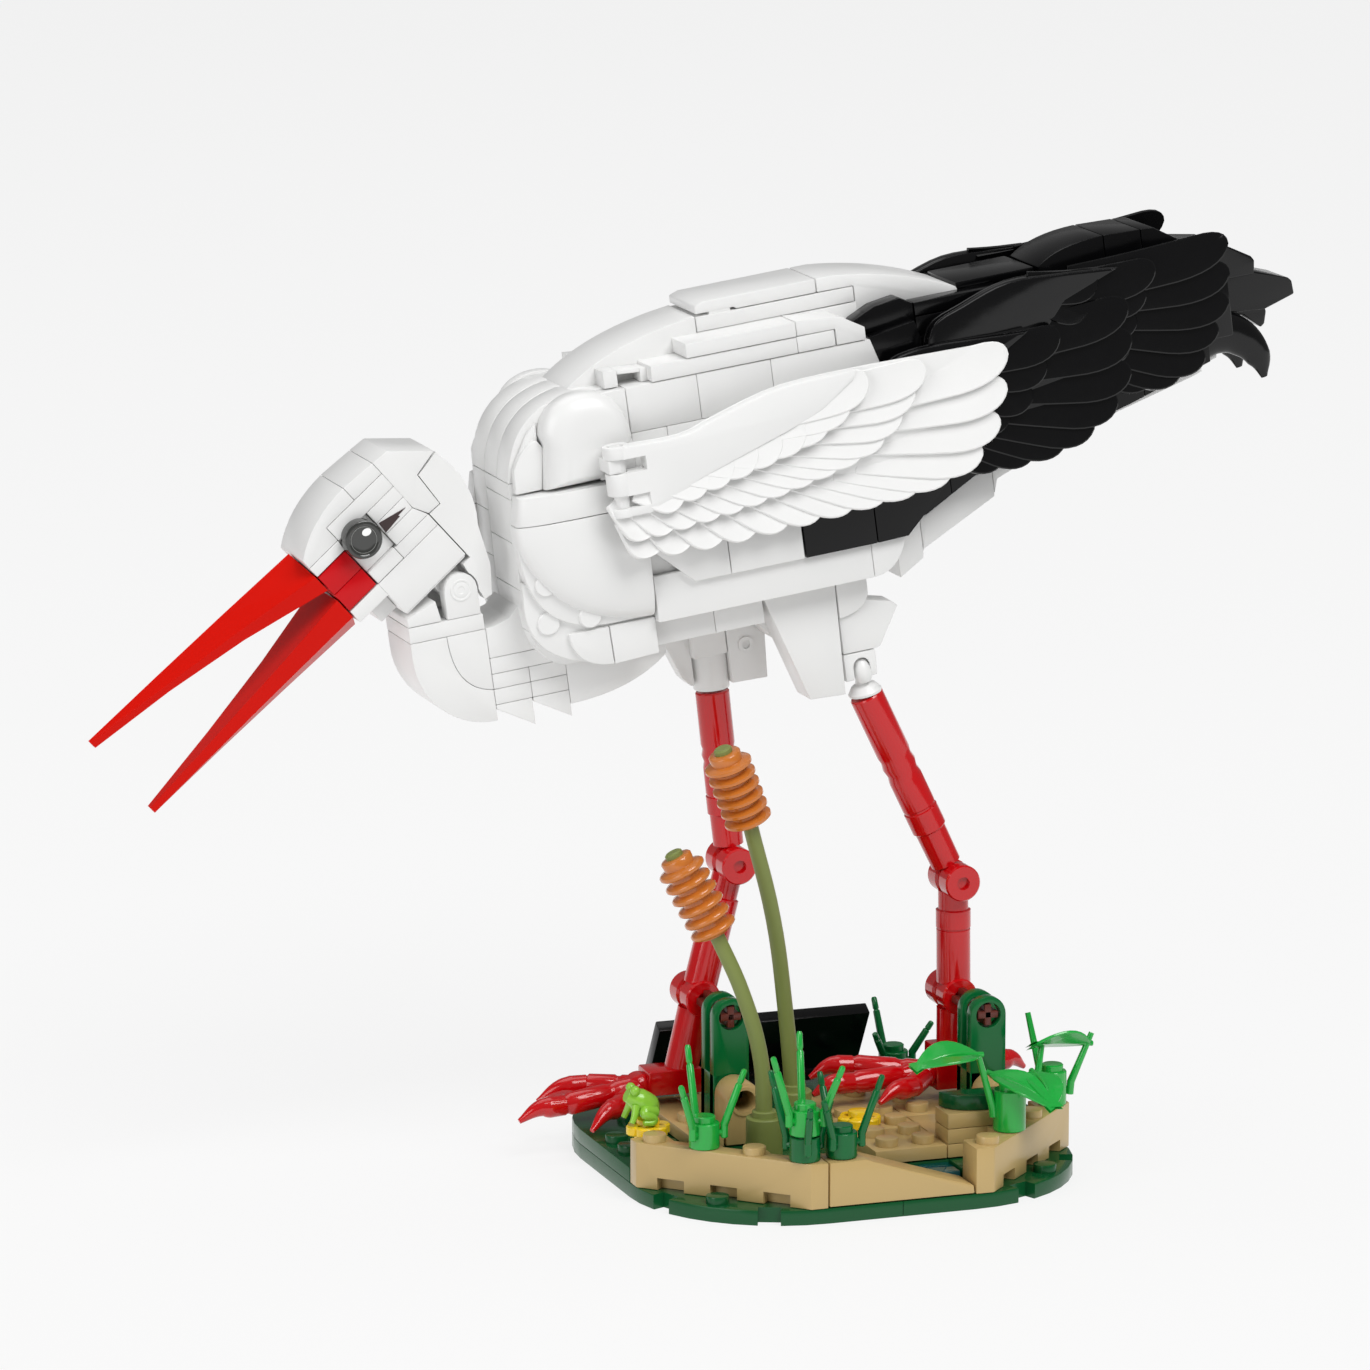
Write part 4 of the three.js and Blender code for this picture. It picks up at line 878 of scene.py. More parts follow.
def build_black_wings():
    """The black flight feathers: an upper moulding at the back, and a lower one in front of it."""
    fan = ramp(8, -45)
    lead = [(26, 44), (28.2, 52.7), (35.9, 56.2), (46.1, 59.2), (57.2, 58.9), (66.3, 58.2), (72, 57.6)]
    long_tips = [(96.2, 60), (96.3, 56.6), (95.8, 50.6), (94.6, 43.6), (90.4, 36.7), (85, 31.4), (72, 31)]
    middle_tips = [(79.4, 57.6), (79.2, 54.6), (76.8, 50), (73.6, 45), (72, 40), (68, 36)]
    short_tips = [(66.6, 58), (66.2, 55.6), (63.7, 51), (61, 46)]
    rows = [
        (long_tips, 7, fan, ramp(36, -12), ramp(8.6, 0), 0.2),
        (middle_tips, 4, fan, ramp(27, -6), ramp(8, 0), 1.1),
        (short_tips, 2, fan, ramp(15, 0), ramp(7.2, 0), 1.9),
    ]
    under, over = [(84, 57), (84, 46), (78, 37), (56, 33), (26, 33)], [(58, 53), (52, 46.4), (26, 40)]
    upper = wing_moulding(lead, rows, ((under, 0), (over, 2.8)), -16.7)

    lead = [(15.6, 42), (17.7, 47.6), (21.4, 49.2), (29.1, 49.7), (42.9, 49), (50, 48.8)]
    long_tips = [(71.2, 51.6), (71.6, 48.6), (71.5, 42.6), (70.7, 35.2), (67.1, 28.8), (59.4, 23.8),
                 (48.2, 21.6), (36, 21.6)]
    middle_tips = [(56, 48.6), (55.6, 45.6), (53.3, 41.6), (50, 37), (46, 32), (38, 28)]
    rows = [
        (long_tips, 8, fan, ramp(32, -12), ramp(8.8, 0), 0.2),
        (middle_tips, 4, fan, ramp(24, -6), ramp(8, 0), 1.1),
    ]
    under, over = [(60, 48.4), (60, 38), (54, 30.6), (40, 27), (17, 26)], [(42, 45), (34, 38), (17, 36)]
    lower = wing_moulding(lead, rows, ((under, 0), (over, 2.2)), -19.4)
    finished(
        "black_wings", both(joined(upper + lower)),
        BLACK_GLOSS, "wing_black_near", "wing_black_far", place=TRUNK,
    )


# ---- rump and tail ----
def build_rump():
    wide, slim = BREAST_HALF + 2.4, BREAST_HALF
    hull = [(17.4, 13), (24.2, 13.3), (36, 19.4), (46, 20.8), (52.5, 22), (73, 27), (91.6, 32.4), (91.6, 50),
            (60, 52), (17.4, 50)]
    pieces = courses(hull, -wide, wide, [
        (12, 26, (17.4, 30, 60)), (26, 38, (17.4, 36, 60)), (38, 53, (17.4, 28, 44, 60)),
    ])
    pieces += courses(hull, -slim, slim, [(12, 38, (60, 76, 92)), (38, 53, (60, 70, 92))])
    saddle = [(30, 50), (41, 57.6), (47, 57.9), (47, 50)]
    hump = [(57.2, 50), (57.2, 58.7), (62, 62.4, 8), (72.3, 62.6), (83.6, 62.2), (88.5, 59), (91.6, 57.4),
            (91.6, 50)]
    pieces += [
        spanning(saddle, NECK_HALF),
        brick(38.6, 56.2, -NECK_HALF, NECK_HALF, 57.2, 58.9),
        brick(47.2, 57.1, -NECK_HALF, NECK_HALF, 50, 57.1),
        *courses(hump, -NECK_HALF, NECK_HALF, [(50, 70, (57, 72.4, 80.8, 92))], edge=0.3),
    ]
    slope = [(13.6, 53), (13.6, 56.2), (18.5, 58.4), (24.2, 59.2), (27.1, 57.5), (27.1, 53)]
    skirt = [(15.6, 52.8), (26, 54.4), (27.1, 50), (27.1, 44), (18.2, 44)]
    y0, y1 = -BREAST_HALF - 1, -NECK_HALF - 0.2
    tier = [
        side(slope, y0, y1, edge=0.3),
        brick(27.2, 46.6, y0, y1, 54.6, 57.5),
        brick(27.2, 42.6, y0, y1, 50, 54.5),
        side(skirt, -TRUNK_HALF + 0.2, y1),
    ]
    pieces += both(*tier)
    finished("rump_bricks", pieces, BLACK, "rump_black", place=TRUNK)

    broad = [(17.4, 0.4), (23, 3.6), (23.4, 5.5), (40.2, 13.4), (41.3, 17), (44, 18), (44, 20), (36, 18.7),
             (24.6, 12.7), (17.4, 12.4)]
    narrow = [(38, 14), (42.8, 16), (49, 18.2), (71.5, 24.9), (88.4, 28.9), (96.1, 31.2), (96.1, 32.3),
              (91, 31.6), (73, 26.4), (52.5, 21.4), (38, 19.1)]
    slopes = courses(broad, -BREAST_HALF, BREAST_HALF, [(0, 21, (17, 23.2, 40.3, 45))], edge=0.25)
    slopes += courses(narrow, -4.6, 4.6, [(12, 33, (38, 49, 71.5, 97))], edge=0.2)
    slopes += both(courses(narrow, -NECK_HALF, -4.7, [(12, 33, (38, 49, 71.5, 91))], edge=0.2))
    finished("tail_coverts", slopes, WHITE, "rump_white", place=TRUNK)


def build_tail():
    def blade(outline, half):
        """A blunt feather: its outline pushed across, narrowing a little towards its dropped tip."""
        piece = spanning(outline, half, edge=0)
        edit(lambda centre, normal: normal.x > 0.8)
        bpy.ops.transform.resize(value=(1, 0.8, 1))
        return broken(close_edit(), 0.4, 3)

    def horn():
        """A long claw that bends down to its tip, flattened from side to side."""
        piece = wand([(91, 0, 36.6), (96.5, 0, 37), (101.4, 0, 34.6), (104.6, 0, 30), (105.4, 0, 25.6)],
                     [5.0, 4.6, 3.9, 2.8, 0.7], 8)
        return shifted(moved(piece, Matrix.Diagonal((1, 0.55, 1, 1))), 0, -6.6)

    top = [(91.7, 57), (99, 55.6), (105.6, 51.6), (106.3, 50.6), (105.9, 47.6), (91.7, 48)]
    middle = [(91.7, 50), (105, 48.6), (113.6, 45.4), (114.8, 44.4), (115.1, 41.4), (107.4, 39.6), (91.7, 41)]
    hook = [(91.7, 46), (104, 43), (108.4, 40.6), (108.8, 38.6), (108, 36), (106.8, 35.6), (103, 39),
            (91.7, 40)]
    pieces = [
        blade(top, 8), blade(middle, 6), blade(hook, 4.6),
        brick(91.8, 98.6, -9.4, 9.4, 36.2, 50, edge=0.4),
        *both(horn()),
    ]
    finished("tail_feathers", pieces, BLACK_GLOSS, "tail", place=TRUNK, smooth=50)


# ---- hips ----
def on_trunk(x, y, z):
    """A place given on the stand's bench, seen from the trunk's."""
    return TRUNK.inverted() @ STAND @ Vector((x, y, z))


def build_hips():
    slope = [(-13.2, 3), (3.0, 3), (2.4, -21.6), (-5.6, -21.1)]
    behind = [(-13.2, 2), (-13, -3.6), (-9.4, -8.6), (-6, -8.6), (-6, 2)]
    quarter = [(3.1, 3), (10, 3), (10, -1.2), (8.8, -5, 6), (3.1, -5.4)]
    fin = [(3.2, -4.6), (9.4, -2.6), (15.1, -4.1), (16.5, -5.3), (11.7, -13), (11.1, -13.4), (3.2, -13.4)]
    arch = [(5.0, -20.5), (8.6, -20.5)] + arc(6.9, -16.6, 1.9, 0, 180, 10)
    block = side([(3.1, -13.5), (10.4, -13.5), (10.2, -19), (3.1, -19.4)], -11, -5, edge=0.3)
    knob = turned([(0, 1.4), (0.7, 1.75), (1.9, 2.0), (3.2, 1.8), (4.4, 1.2), (4.9, 0.6)], 24)
    cap = turned([(0, 3.5), (0.5, 3.6), (0.9, 3.3), (1.9, 2.6), (2.4, 1.6), (3.6, 1.3)], 28)
    near = [
        side(slope, -12, -4, edge=0.25),
        side(behind, -3.9, 4, edge=0.25),
        side(quarter, -12, -4, edge=0.2),
        side(fin, -11, -5, edge=0.25),
        cut(block, drawn(arch, 3.4, start=-12.5, seam=0, edge=0)),
        aimed(knob, on_trunk(10.2, 2.4, 101), on_trunk(9.0, 2.4, 106)),
        aimed(cap, on_trunk(11.0, 4, 98.1), on_trunk(10.2, 4, 101)),
    ]
    finished("near_hip", near, WHITE, "hip_near", place=TRUNK)
    wedge = [(-32.5, -3.2), (-29.1, -9.7), (-26.8, -15.8), (-25.2, -17.7), (-24.2, -17.9), (-24.2, -3.2)]
    bracket = side([(-16.7, -3.2), (-16.7, -18.4), (-8.8, -18.7), (-7.8, -3.2)], 4, 12)
    ring = outward(washer(0.9, 1.7, -4.15, -3.5), -12.8, 0, -10.7)
    socket = turned([(0, 3.7), (0.3, 3.85), (12.4, 3.85), (13, 3.7)], 28)
    far = [side(wedge, 6, 10.4, edge=0.25), bracket, ring,
           brick(-24.4, -16.8, 4, 12, -11.8, -3.2, edge=0.3),
           aimed(socket, on_trunk(-17.3, 20, 98.1), on_trunk(-18.8, 20, 112))]
    finished("far_hip", far, WHITE, "hip_far", place=TRUNK)


# ---- legs ----
def tube_of(length, stations):
    """A round tube whose stations are given as (share of the length, radius)."""
    return turned([(share * length, r) for share, r in stations], 28)


def build_leg(name, y, top, knee, ankle, heel):
    at = lambda p: (p[0], y, p[1])
    snug, proud = TUBE_R, TUBE_R + 0.1
    # The thigh's swollen rings, a collar, then the slimmer end at the knee.
    length = math.dist(top, knee) - HUB_R
    thigh = tube_of(length, [
        (0, 3.35), (0.3 / length, snug), (0.34, snug), (0.37, 3.35), (0.41, TUBE_R + 0.05), (0.45, 3.3),
        (0.49, snug), (0.66, snug), (0.665, 3.4), (0.675, 3.4), (0.68, proud), (0.79, proud), (0.8, 3.3),
        (1, 3.2),
    ])
    finished(name + "_tube", [aimed(thigh, at(top), at(knee))], LEG_RED, name + "_thigh")
    hub = turn(turned([
        (0, 1.4), (0, 3.5), (0.35, HUB_R), (4.4, HUB_R), (4.7, 3.3), (6.4, 3.3), (6.7, HUB_R), (10.6, HUB_R),
        (11, 3.6), (11, 1.4), (10, 1.3),
    ], 32), 90, "X")
    length = math.dist(knee, ankle)
    shin = tube_of(length, [
        (2.6 / length, 3.2), (0.26, 3.2), (0.27, proud), (0.42, proud), (0.425, 3.4), (0.435, 3.4),
        (0.44, snug), (1 - 2.6 / length, snug),
    ])
    lower = [
        shifted(copied(hub), knee[0], y + 5, knee[1]),
        aimed(shin, at(knee), at(ankle)),
        shifted(hub, ankle[0], y + 7, ankle[1]),
    ]
    finished(name + "_joints", lower, LEG_RED, name + "_shin")
    return aimed(rod(TUBE_R, 0, math.dist(ankle, heel) - HUB_R + 1, 28), at(heel), at(ankle))


def toe(route):
    """A jointed toe: a round link with a groove at each end, then a claw that hooks down to its tip."""
    start, claw, tip = (Vector(p) for p in route)
    way = claw - start
    reach = way.length
    link = turned([(0, 2)] + [(reach * share, r) for share, r in (
        (0.4 / reach, 2.4), (0.3, 2.4), (0.34, 2.1), (0.4, 2.1), (0.44, 2.4), (0.9, 2.4), (0.94, 2), (1, 2),
    )], 20)
    hook = (claw + tip) / 2 + Vector((0, 0, 1.2))
    nail = wand([claw - way.normalized() * 0.6, claw.lerp(hook, 0.6), hook, tip], [2.2, 2.3, 1.8, 0.55])
    return [aimed(link, start, claw), nail]


def build_foot(name, stem, block, knuckle, toes):
    knob = turned([(-3, 1.2), (-2.6, 2.2), (-1.5, 3), (1.5, 3), (2.6, 2.2), (3, 1.2)], 24)
    pieces = [stem, brick(*block, edge=0.4), outward(knob, *knuckle)]
    pieces += [toe(route) for route in toes]
    finished(name, pieces, LEG_RED, name)


def build_legs():
    far_heel, far_knuckle = (-24.2, 16), (-33.5, 20, 13.4)
    stem = build_leg("leg_far", 20, (-17.2, 97.5), (-13.1, 60.5), (-20.4, AXLE_Z), far_heel)
    build_foot("leg_far_foot", stem, (-32.5, -20.4, 16.2, 23.8, 11.8, 17.2), far_knuckle, [
        (far_knuckle, (-51, 19, 11), (-60.4, 19, 8.4)),
        (far_knuckle, (-43.5, 26.5, 13), (-53.4, 28, 9.8)),
        (far_knuckle, (-39.5, 13.5, 11.6), (-48, 8, 8.1)),
    ])
    right = RIGHT_X
    near_knuckle = (26, 4, 15.4)
    stem = build_leg("leg_near", 4, (11.1, 97.8), (30.9, 57), (right, AXLE_Z), (right, 20))
    build_foot("leg_near_foot", stem, (26, 35, 0.2, 7.8, 12, 21.4), near_knuckle, [
        (near_knuckle, (7, 2, 15), (-1.5, 1, 13.4)),
        (near_knuckle, (10, 10, 16.6), (1.5, 11, 14.4)),
        (near_knuckle, (19, -3, 14.2), (10.5, -7, 12.6)),
        ((34, 5, 16), (42.5, 7, 15.6), (49, 8, 13.4)),
    ])


# ---- supports ----
def cross(reach, half, z0, z1, edge):
    """A bar with a cross-shaped section."""
    spans = (reach, half), (half, reach)
    return joined([brick(-x, x, -y, y, z0, z1, edge) for x, y in spans])


def build_support(name, x, y0):
    """Two green ears with a cross axle between them, behind a tan brick with a pin hole."""
    def ear(top, y, depth):
        outline = [(x - 4, GROUND + 0.3), (x + 4, GROUND + 0.3)] + arc(x, top, 4, 0, 180, 16)
        return side(outline, y, y + depth, edge=0.25)

    # A cross-shaped hub fills each round hole.
    plug = cut(rod(2.7, 0, 1.6, 28), cross(2.5, 0.95, -40, 40, 0))
    holes = [cut(ear(AXLE_Z, y, 2.6), outward(rod(2.75, -60, 60, 28), x, y, AXLE_Z)) for y in (y0, y0 + 5.4)]
    ears = holes + [
        outward(copied(plug), x, y0 + 2.2, AXLE_Z),
        outward(plug, x, y0 + 7.4, AXLE_Z),
        brick(x - 4, x + 4, y0, y0 + STUD, GROUND + 0.3, AXLE_Z - 12, edge=0.2),
    ]
    finished(name + "_ears", ears, SUPPORT_GREEN, name + "_beam")
    lug = cut(ear(2 * STUD, y0 - STUD, STUD - 0.3), outward(rod(STUD_R, -60, 60, 28), x, y0, 2 * STUD))
    collar = outward(washer(STUD_R, 3.1, -0.1, 0.25), x, y0 - STUD, 2 * STUD)
    finished(name + "_pin_brick", [lug, collar], TAN, name + "_lug")
    axle = outward(cross(2.3, 0.8, -15.6, -0.2, 0.2), x, y0, AXLE_Z)
    finished(name + "_cross_axle", [axle], BROWN, name + "_axle")


def build_supports():
    build_support("support_left", LEFT_X, 0)
    build_support("support_right", RIGHT_X, -16)


# ---- the marsh base ----
def rounded_square(half, radius, steps=10):
    c = half - radius
    corners = [(c, -c, -90), (c, c, 0), (-c, c, 90), (-c, -c, 180)]
    return [point for x, y, a in corners for point in arc(x, y, radius, a, a + 90, steps)]


def rim_facet():
    """The tan brick that cuts the left front corner: stepped behind its studs, notched along its foot."""
    steps = [(-40, -16), (-40, -21), (-36.5, -24.5), (-32, -24.5), (-32, -29), (-28.5, -32.5), (-24.5, -32.5),
             (-24.5, -37), (-21, -40), (-16, -40)]
    outline = [(-48, -16), (-48, -20), (-20, -48), (-16.2, -48), *steps[::-1]]
    block = plan(outline, PLATE + 0.05, RIM_TOP, edge=0.25)
    slots = []
    for along_face in (-12, 0, 12):
        slot = turn(brick(-3.1, 3.1, -2.4, 2.4, -1, PLATE + 2.7, edge=0), -45)
        step = along_face * math.sqrt(0.5)
        slots.append(shifted(slot, -34 + step, -34 - step))
    return cut(block, *slots)


def build_green_plates():
    """Two rounded plates: the lower has slots round its corners, the upper leaves room for the rim."""
    lower = plan(rounded_square(BASE_HALF, CORNER_R), 0, PLATE - 0.02, edge=0.2)
    slots = []
    corner = BASE_HALF - CORNER_R
    for quarter in (0, 90, 180, 270):
        for a in (22.5, 67.5):
            slot = shifted(brick(-2.4, 2.4, -2.4, 2.4, -1, PLATE + 1, edge=0), CORNER_R - 0.6)
            slots.append(turn(shifted(turn(slot, a), corner, corner), quarter))
    lower = cut(lower, *slots, brick(-0.12, 0.12, -60, -40, -1, PLATE + 1, edge=0))
    upper = plan(rounded_square(BASE_HALF, CORNER_R), PLATE, GROUND, edge=0)
    room = plan([(-60, -15.6), (-39.6, -15.6), (-37.6, -19.6), (-19.6, -37.6), (-15.6, -39.6), (15.6, -39.6),
                 (19.6, -37.6), (37.6, -19.6), (39.6, -15.6), (60, -15.6), (60, -60), (-60, -60)],
                PLATE - 1, 20, seam=0, edge=0)
    upper = broken(cut(upper, room, brick(3.6, 16.4, -60, -31.6, PLATE - 1, 20, edge=0)), 0.2)
    behind = [(-44, -4), (-44, 4), (-36, 4), (-36, 12), (-36, -4), (-28, 36), (36, 28), (-36, 20), (-28, 28),
              (44, 12), (36, 20), (20, 36)]
    studs = studs_at(behind, GROUND) + studs_at([(-36, -36), (36, -36)], PLATE - 0.02)
    finished("base_plates", [lower, upper, studs], DARK_GREEN, "base_green")


def build_rim():
    left = rim_facet()
    right = turn(copied(left), 90)
    tops = studs_at([(-44 + i * STUD, -20 - i * STUD) for i in range(4)], RIM_TOP)
    for name, block, a in (("left", left, 0), ("right", right, 90)):
        caps = [turn(copied(top), a) for top in tops]
        finished("rim_facet_" + name, [block, caps], TAN, "rim_" + name)
    for top in tops:
        bpy.data.objects.remove(top)

    # The bank slides down to a rounded toe beside the pond.
    bank = [(-16, PLATE + 0.2), (15.8, PLATE + 0.2), (15.6, PLATE + 2), (13, PLATE + 2.8),
            (2, RIM_TOP - 3.4, 10), (-8, RIM_TOP), (-16, RIM_TOP)]
    slide = [side(bank, -48, -40, edge=0.3), studs_at([(-12, -44)], RIM_TOP)]
    finished("rim_bank_brick", slide, TAN, "rim_bank")
    tile = brick(4.1, 15.9, -39.6, -32.1, PLATE + 0.3, GROUND - 0.3, edge=0.2)
    finished("pond_water", [tile], TEAL, "pond")


def build_ground():
    """Tan plates behind the rim, and a step of two plates beside the right support."""
    z, top = GROUND + 0.3, BRICK
    keep_off = [
        brick(RIGHT_X - 4.3, RIGHT_X + 4.3, -24.3, -7.7, GROUND, 60, edge=0),
        plan([(10.4, -50), (50.4, -10), (60, -10), (60, -50)], 0, 30, seam=0, edge=0),
    ]
    keep_off += [shifted(rod(4.2, 0, 30), x, x - 64) for x in (20, 28, 36, 44)]
    spans = [  # x, y and z of each slab
        (0, 15.9, -32, -16, z, top), (0, 15.9, -16, 0, z, top), (16, 39.7, -32, -8, z, top),
        (16, 39.7, -8, 16, z, top), (0, 15.9, 0, 16, z, top),
        (16, 31.9, -32, -24.4, top, top + PLATE), (16, 31.9, -32, -24.4, top + PLATE, STEP_TOP),
    ]
    ground = [broken(cut(brick(*span, edge=0), *map(copied, keep_off)), 0.16) for span in spans]
    for tool in keep_off:
        bpy.data.objects.remove(tool)
    ground += studs_at([(4, -28), (12, -28), (4, -20), (12, -20), (4, -12), (20, 4), (12, 12), (12, -12),
                        (12, -4), (4, -4), (20, -4)], top)
    finished("ground_right_plates", ground, TAN, "ground_right")
    wedge = [(16.4, -25), (17.4, -31.6, 6), (27, -31.4)] + [(27, -31.4), (30.4, -30, 6), (29.6, -25)]
    finished("wedge_plate", [plan(wedge, STEP_TOP + 0.05, STEP_TOP + PLATE, edge=0.25)], DARK_GREEN)
    left_ground = [brick(-32, -24.4, -8, 24, z, top), brick(-24.3, -8, 8.3, 24, z, top)]
    left_ground += studs_at([(-12, 12), (-28, 4), (-28, -4), (-12, 20), (-20, 20)], top)
    finished("ground_left_plates", left_ground, TAN, "ground_left")


# ---- plants ----
def round_brick(x, y, z0, z1, r=3.2, stud_r=2.3):
    """A one-stud round brick with a stud on top."""
    h = z1 - z0
    return shifted(turned([
        (0, r - 0.15), (0.15, r), (h - 0.2, r), (h, r - 0.2), (h, stud_r), (h + 1.2, stud_r),
        (h + 1.4, stud_r - 0.25),
    ], 32), x, y, z0)


def sprig(x, y, z, heights, start, spread=8.3, brick_top=5.3):
    """A round brick with three thin stems: each leaves its side, turns up and fans out to a finer tip."""
    pieces = [round_brick(x, y, z, z + brick_top)]
    foot = turned([(-3.2, 0.65), (-3, 0.8), (0, 0.8)], 14)
    for i, height in enumerate(heights):
        a = math.radians(start + 120 * i)
        out = lambda r, h: (x + r * math.cos(a), y + r * math.sin(a), z + h)
        elbow, tip = out(4.1, brick_top - 0.4), out(spread, height)
        length = math.dist(elbow, tip)
        stem = turned([
            (-0.5, 0.7), (0, 0.85), (length * 0.72, 0.75), (length * 0.75, 0.5), (length * 0.78, 0.68),
            (length * 0.97, 0.62), (length, 0.4),
        ], 14)
        pieces += [
            aimed(stem, elbow, tip),
            shifted(copied(foot), *out(4.1, brick_top)),
            wand([out(2.6, brick_top - 2.2), out(4.1, brick_top - 2)], [0.7, 0.75], 3, smooth=False),
        ]
    bpy.data.objects.remove(foot)
    return pieces


def build_sprigs():
    sprigs = [
        ("stems_left", (-36, -28, ON_RIM), (16.6, 19.6, 14.6), -25, "bright_green", BRIGHT_GREEN),
        ("stems_front", (-20, -44, ON_RIM + 5.4), (15, 19.4, 17.4), -42, "bright_green", BRIGHT_GREEN),
        ("stems_dark", (-12, -44, ON_RIM), (17, 16, 13.6), -17, "dark_green", SUPPORT_GREEN),
        ("stems_back", (30, 36, GROUND + 0.1), (11.6, 15.2, 10.8), -20, "dark_green", SUPPORT_GREEN),
    ]
    for name, place, heights, start, slot, finish in sprigs:
        finished(name + "_sprig", sprig(*place, heights, start), finish, name, slot=slot)
    under = sprig(-20, -44, ON_RIM, (14, 18, 12.6), 18, spread=7.6, brick_top=5)
    finished("stems_under_sprig", under, SUPPORT_GREEN, slot="dark_green")


def leaf(base, tip, width, roll=0.0, droop=1.6):
    """A pointed leaf from its base to its tip, its blade folded along a midrib."""
    reach = math.dist(base, tip)
    edge = curved([(0, 0.5), (reach * 0.42, width * 1.05, 10), (reach, 0.15)])
    blade = plan(edge + [(x, -y) for x, y in reversed(edge)], -0.3, 0.3, seam=0, edge=0)
    edit(lambda centre, normal: abs(normal.z) > 0.9)
    bpy.ops.mesh.inset(thickness=0.45, use_even_offset=True)
    bpy.ops.mesh.inset(thickness=0.9, use_even_offset=True)
    bpy.ops.mesh.poke()
    close_edit()
    for vertex in blade.data.vertices:
        t = vertex.co.x / reach
        vertex.co.z += droop * 4 * t * (1 - t) + 0.16 * abs(vertex.co.y)
    route = [(-0.6, 0, 0.1), (reach * 0.5, 0, droop + 0.1), (reach * 0.96, 0, droop * 0.15 + 0.1)]
    rib = wand(route, [0.6, 0.45, 0.15], 3)
    blade = joined([broken(blade, 0.12, 1, 40), rib])
    turn(blade, roll, "X")
    way = Vector(tip) - Vector(base)
    turn(blade, -math.degrees(math.atan2(way.z, math.hypot(way.x, way.y))), "Y")
    turn(blade, math.degrees(math.atan2(way.y, way.x)), "Z")
    return shifted(blade, *base)


def twig(*route):
    return wand(route, [0.8, 0.85, 0.6], 5, smooth=False)


def build_leaf_plants():
    """Two tall round bricks with stems, and the leaves clipped on them."""
    front = [
        round_brick(28, -36, ON_RIM, ON_RIM + 8.6, r=3.4),
        twig((24.4, -36, ON_RIM + 3), (24.2, -36, ON_RIM + 5), (21.2, -35.6, 29)),
        leaf((21.6, -35.4, 29.0), (6, -38, 28), 8, roll=-16, droop=1.6),
        leaf((24.6, -33, 24.2), (34.4, -44, 18.6), 7.6, roll=10, droop=1.4),
        leaf((34.6, -32, 23.4), (34.8, -43.8, 18.8), 7.2, roll=-6, droop=1.2),
    ]
    finished("leaves_front_sprig", front, BRIGHT_GREEN, "leaves_front")
    right = [
        round_brick(44, -20, ON_RIM, ON_RIM + 7.2, r=3.0),
        twig((48, -20, 14.6), (48.2, -20, 17.2), (52.8, -20, 27.4)),
        twig((43, -16.4, 15), (42.8, -16.2, 19), (41.2, -13, 31)),
        twig((40.6, -22, 15), (39.4, -22.4, 18), (41.2, -21, 26)),
        leaf((52.4, -20, 25), (38.2, -22.6, 26.2), 7.6, roll=34, droop=0.8),
    ]
    finished("leaves_right_sprig", right, BRIGHT_GREEN, "leaves_right")


def flower(x, y, z):
    """Six round petals on a drum, with a stud in the middle."""
    pieces = [shifted(turned([(0, 2.9), (1.9, 2.9), (2.2, 2.6)], 24), x, y, z)]
    for i in range(6):
        petal = turned([(1.0, 1.7), (1.3, 2.0), (2.8, 2.0), (3.1, 1.7)], 20)
        pieces.append(turn(shifted(petal, 2.7), 60 * i))
        shifted(pieces[-1], x, y, z)
    pieces.append(stud(x, y, z + 2.6))
    return pieces


def build_frog():
    """A lime frog on a yellow flower, which stands on a green collar and a lime round plate."""
    x, y, z = -42.6, -12, GROUND + STUD_H - 1.5
    foot = shifted(turned([(0, 3), (0.2, 3.2), (2.8, 3.2), (3, 3)], 28), x, y, z)
    finished("lime_round_plate", [foot], LIME)
    finished("green_collar", [shifted(rod(2.4, 0, 1.4, 28), x, y, z + 3.1)], DARK_GREEN)
    finished("frog_flower", flower(x, y, z + 4.6), YELLOW, "flower_frog")
    finished("pond_flower", flower(4, -12, BRICK - 0.9), YELLOW)

    def limb(route, radii, sides):
        return wand([(x + u, y + v, seat + w) for u, v, w in route], radii, sides)

    seat = GROUND + STUD_H + 2 * PLATE + 0.3
    frog = [limb([(1.6, 0, 1.6), (0.2, 0, 3.2), (-2.2, 0, 4.8), (-4.8, 0, 6)], [1.2, 2.5, 2.5, 1.3], 6)]
    for s in (-1, 1):
        hind = [(1, 1.6 * s, 2.4), (-1.6, 2.6 * s, 2.6), (0.4, 2.9 * s, 0.9), (-2, 3.2 * s, 0.5)]
        fore = [(-3.2, 1.6 * s, 4), (-3.8, 2.4 * s, 2), (-4.4, 2.6 * s, 0.6)]
        eye = turned([(-1, 0.5), (-0.6, 0.9), (0, 1.1), (0.6, 0.9), (1, 0.5)], 16)
        frog += [
            limb(hind, [1.3, 1.2, 0.8, 0.6], 4),
            limb(fore, [0.9, 0.7, 0.6], 4),
            shifted(eye, x - 3.3, y + 1.4 * s, seat + 7.1),
        ]
    finished("marsh_frog", frog, LIME, "frog", smooth=60)


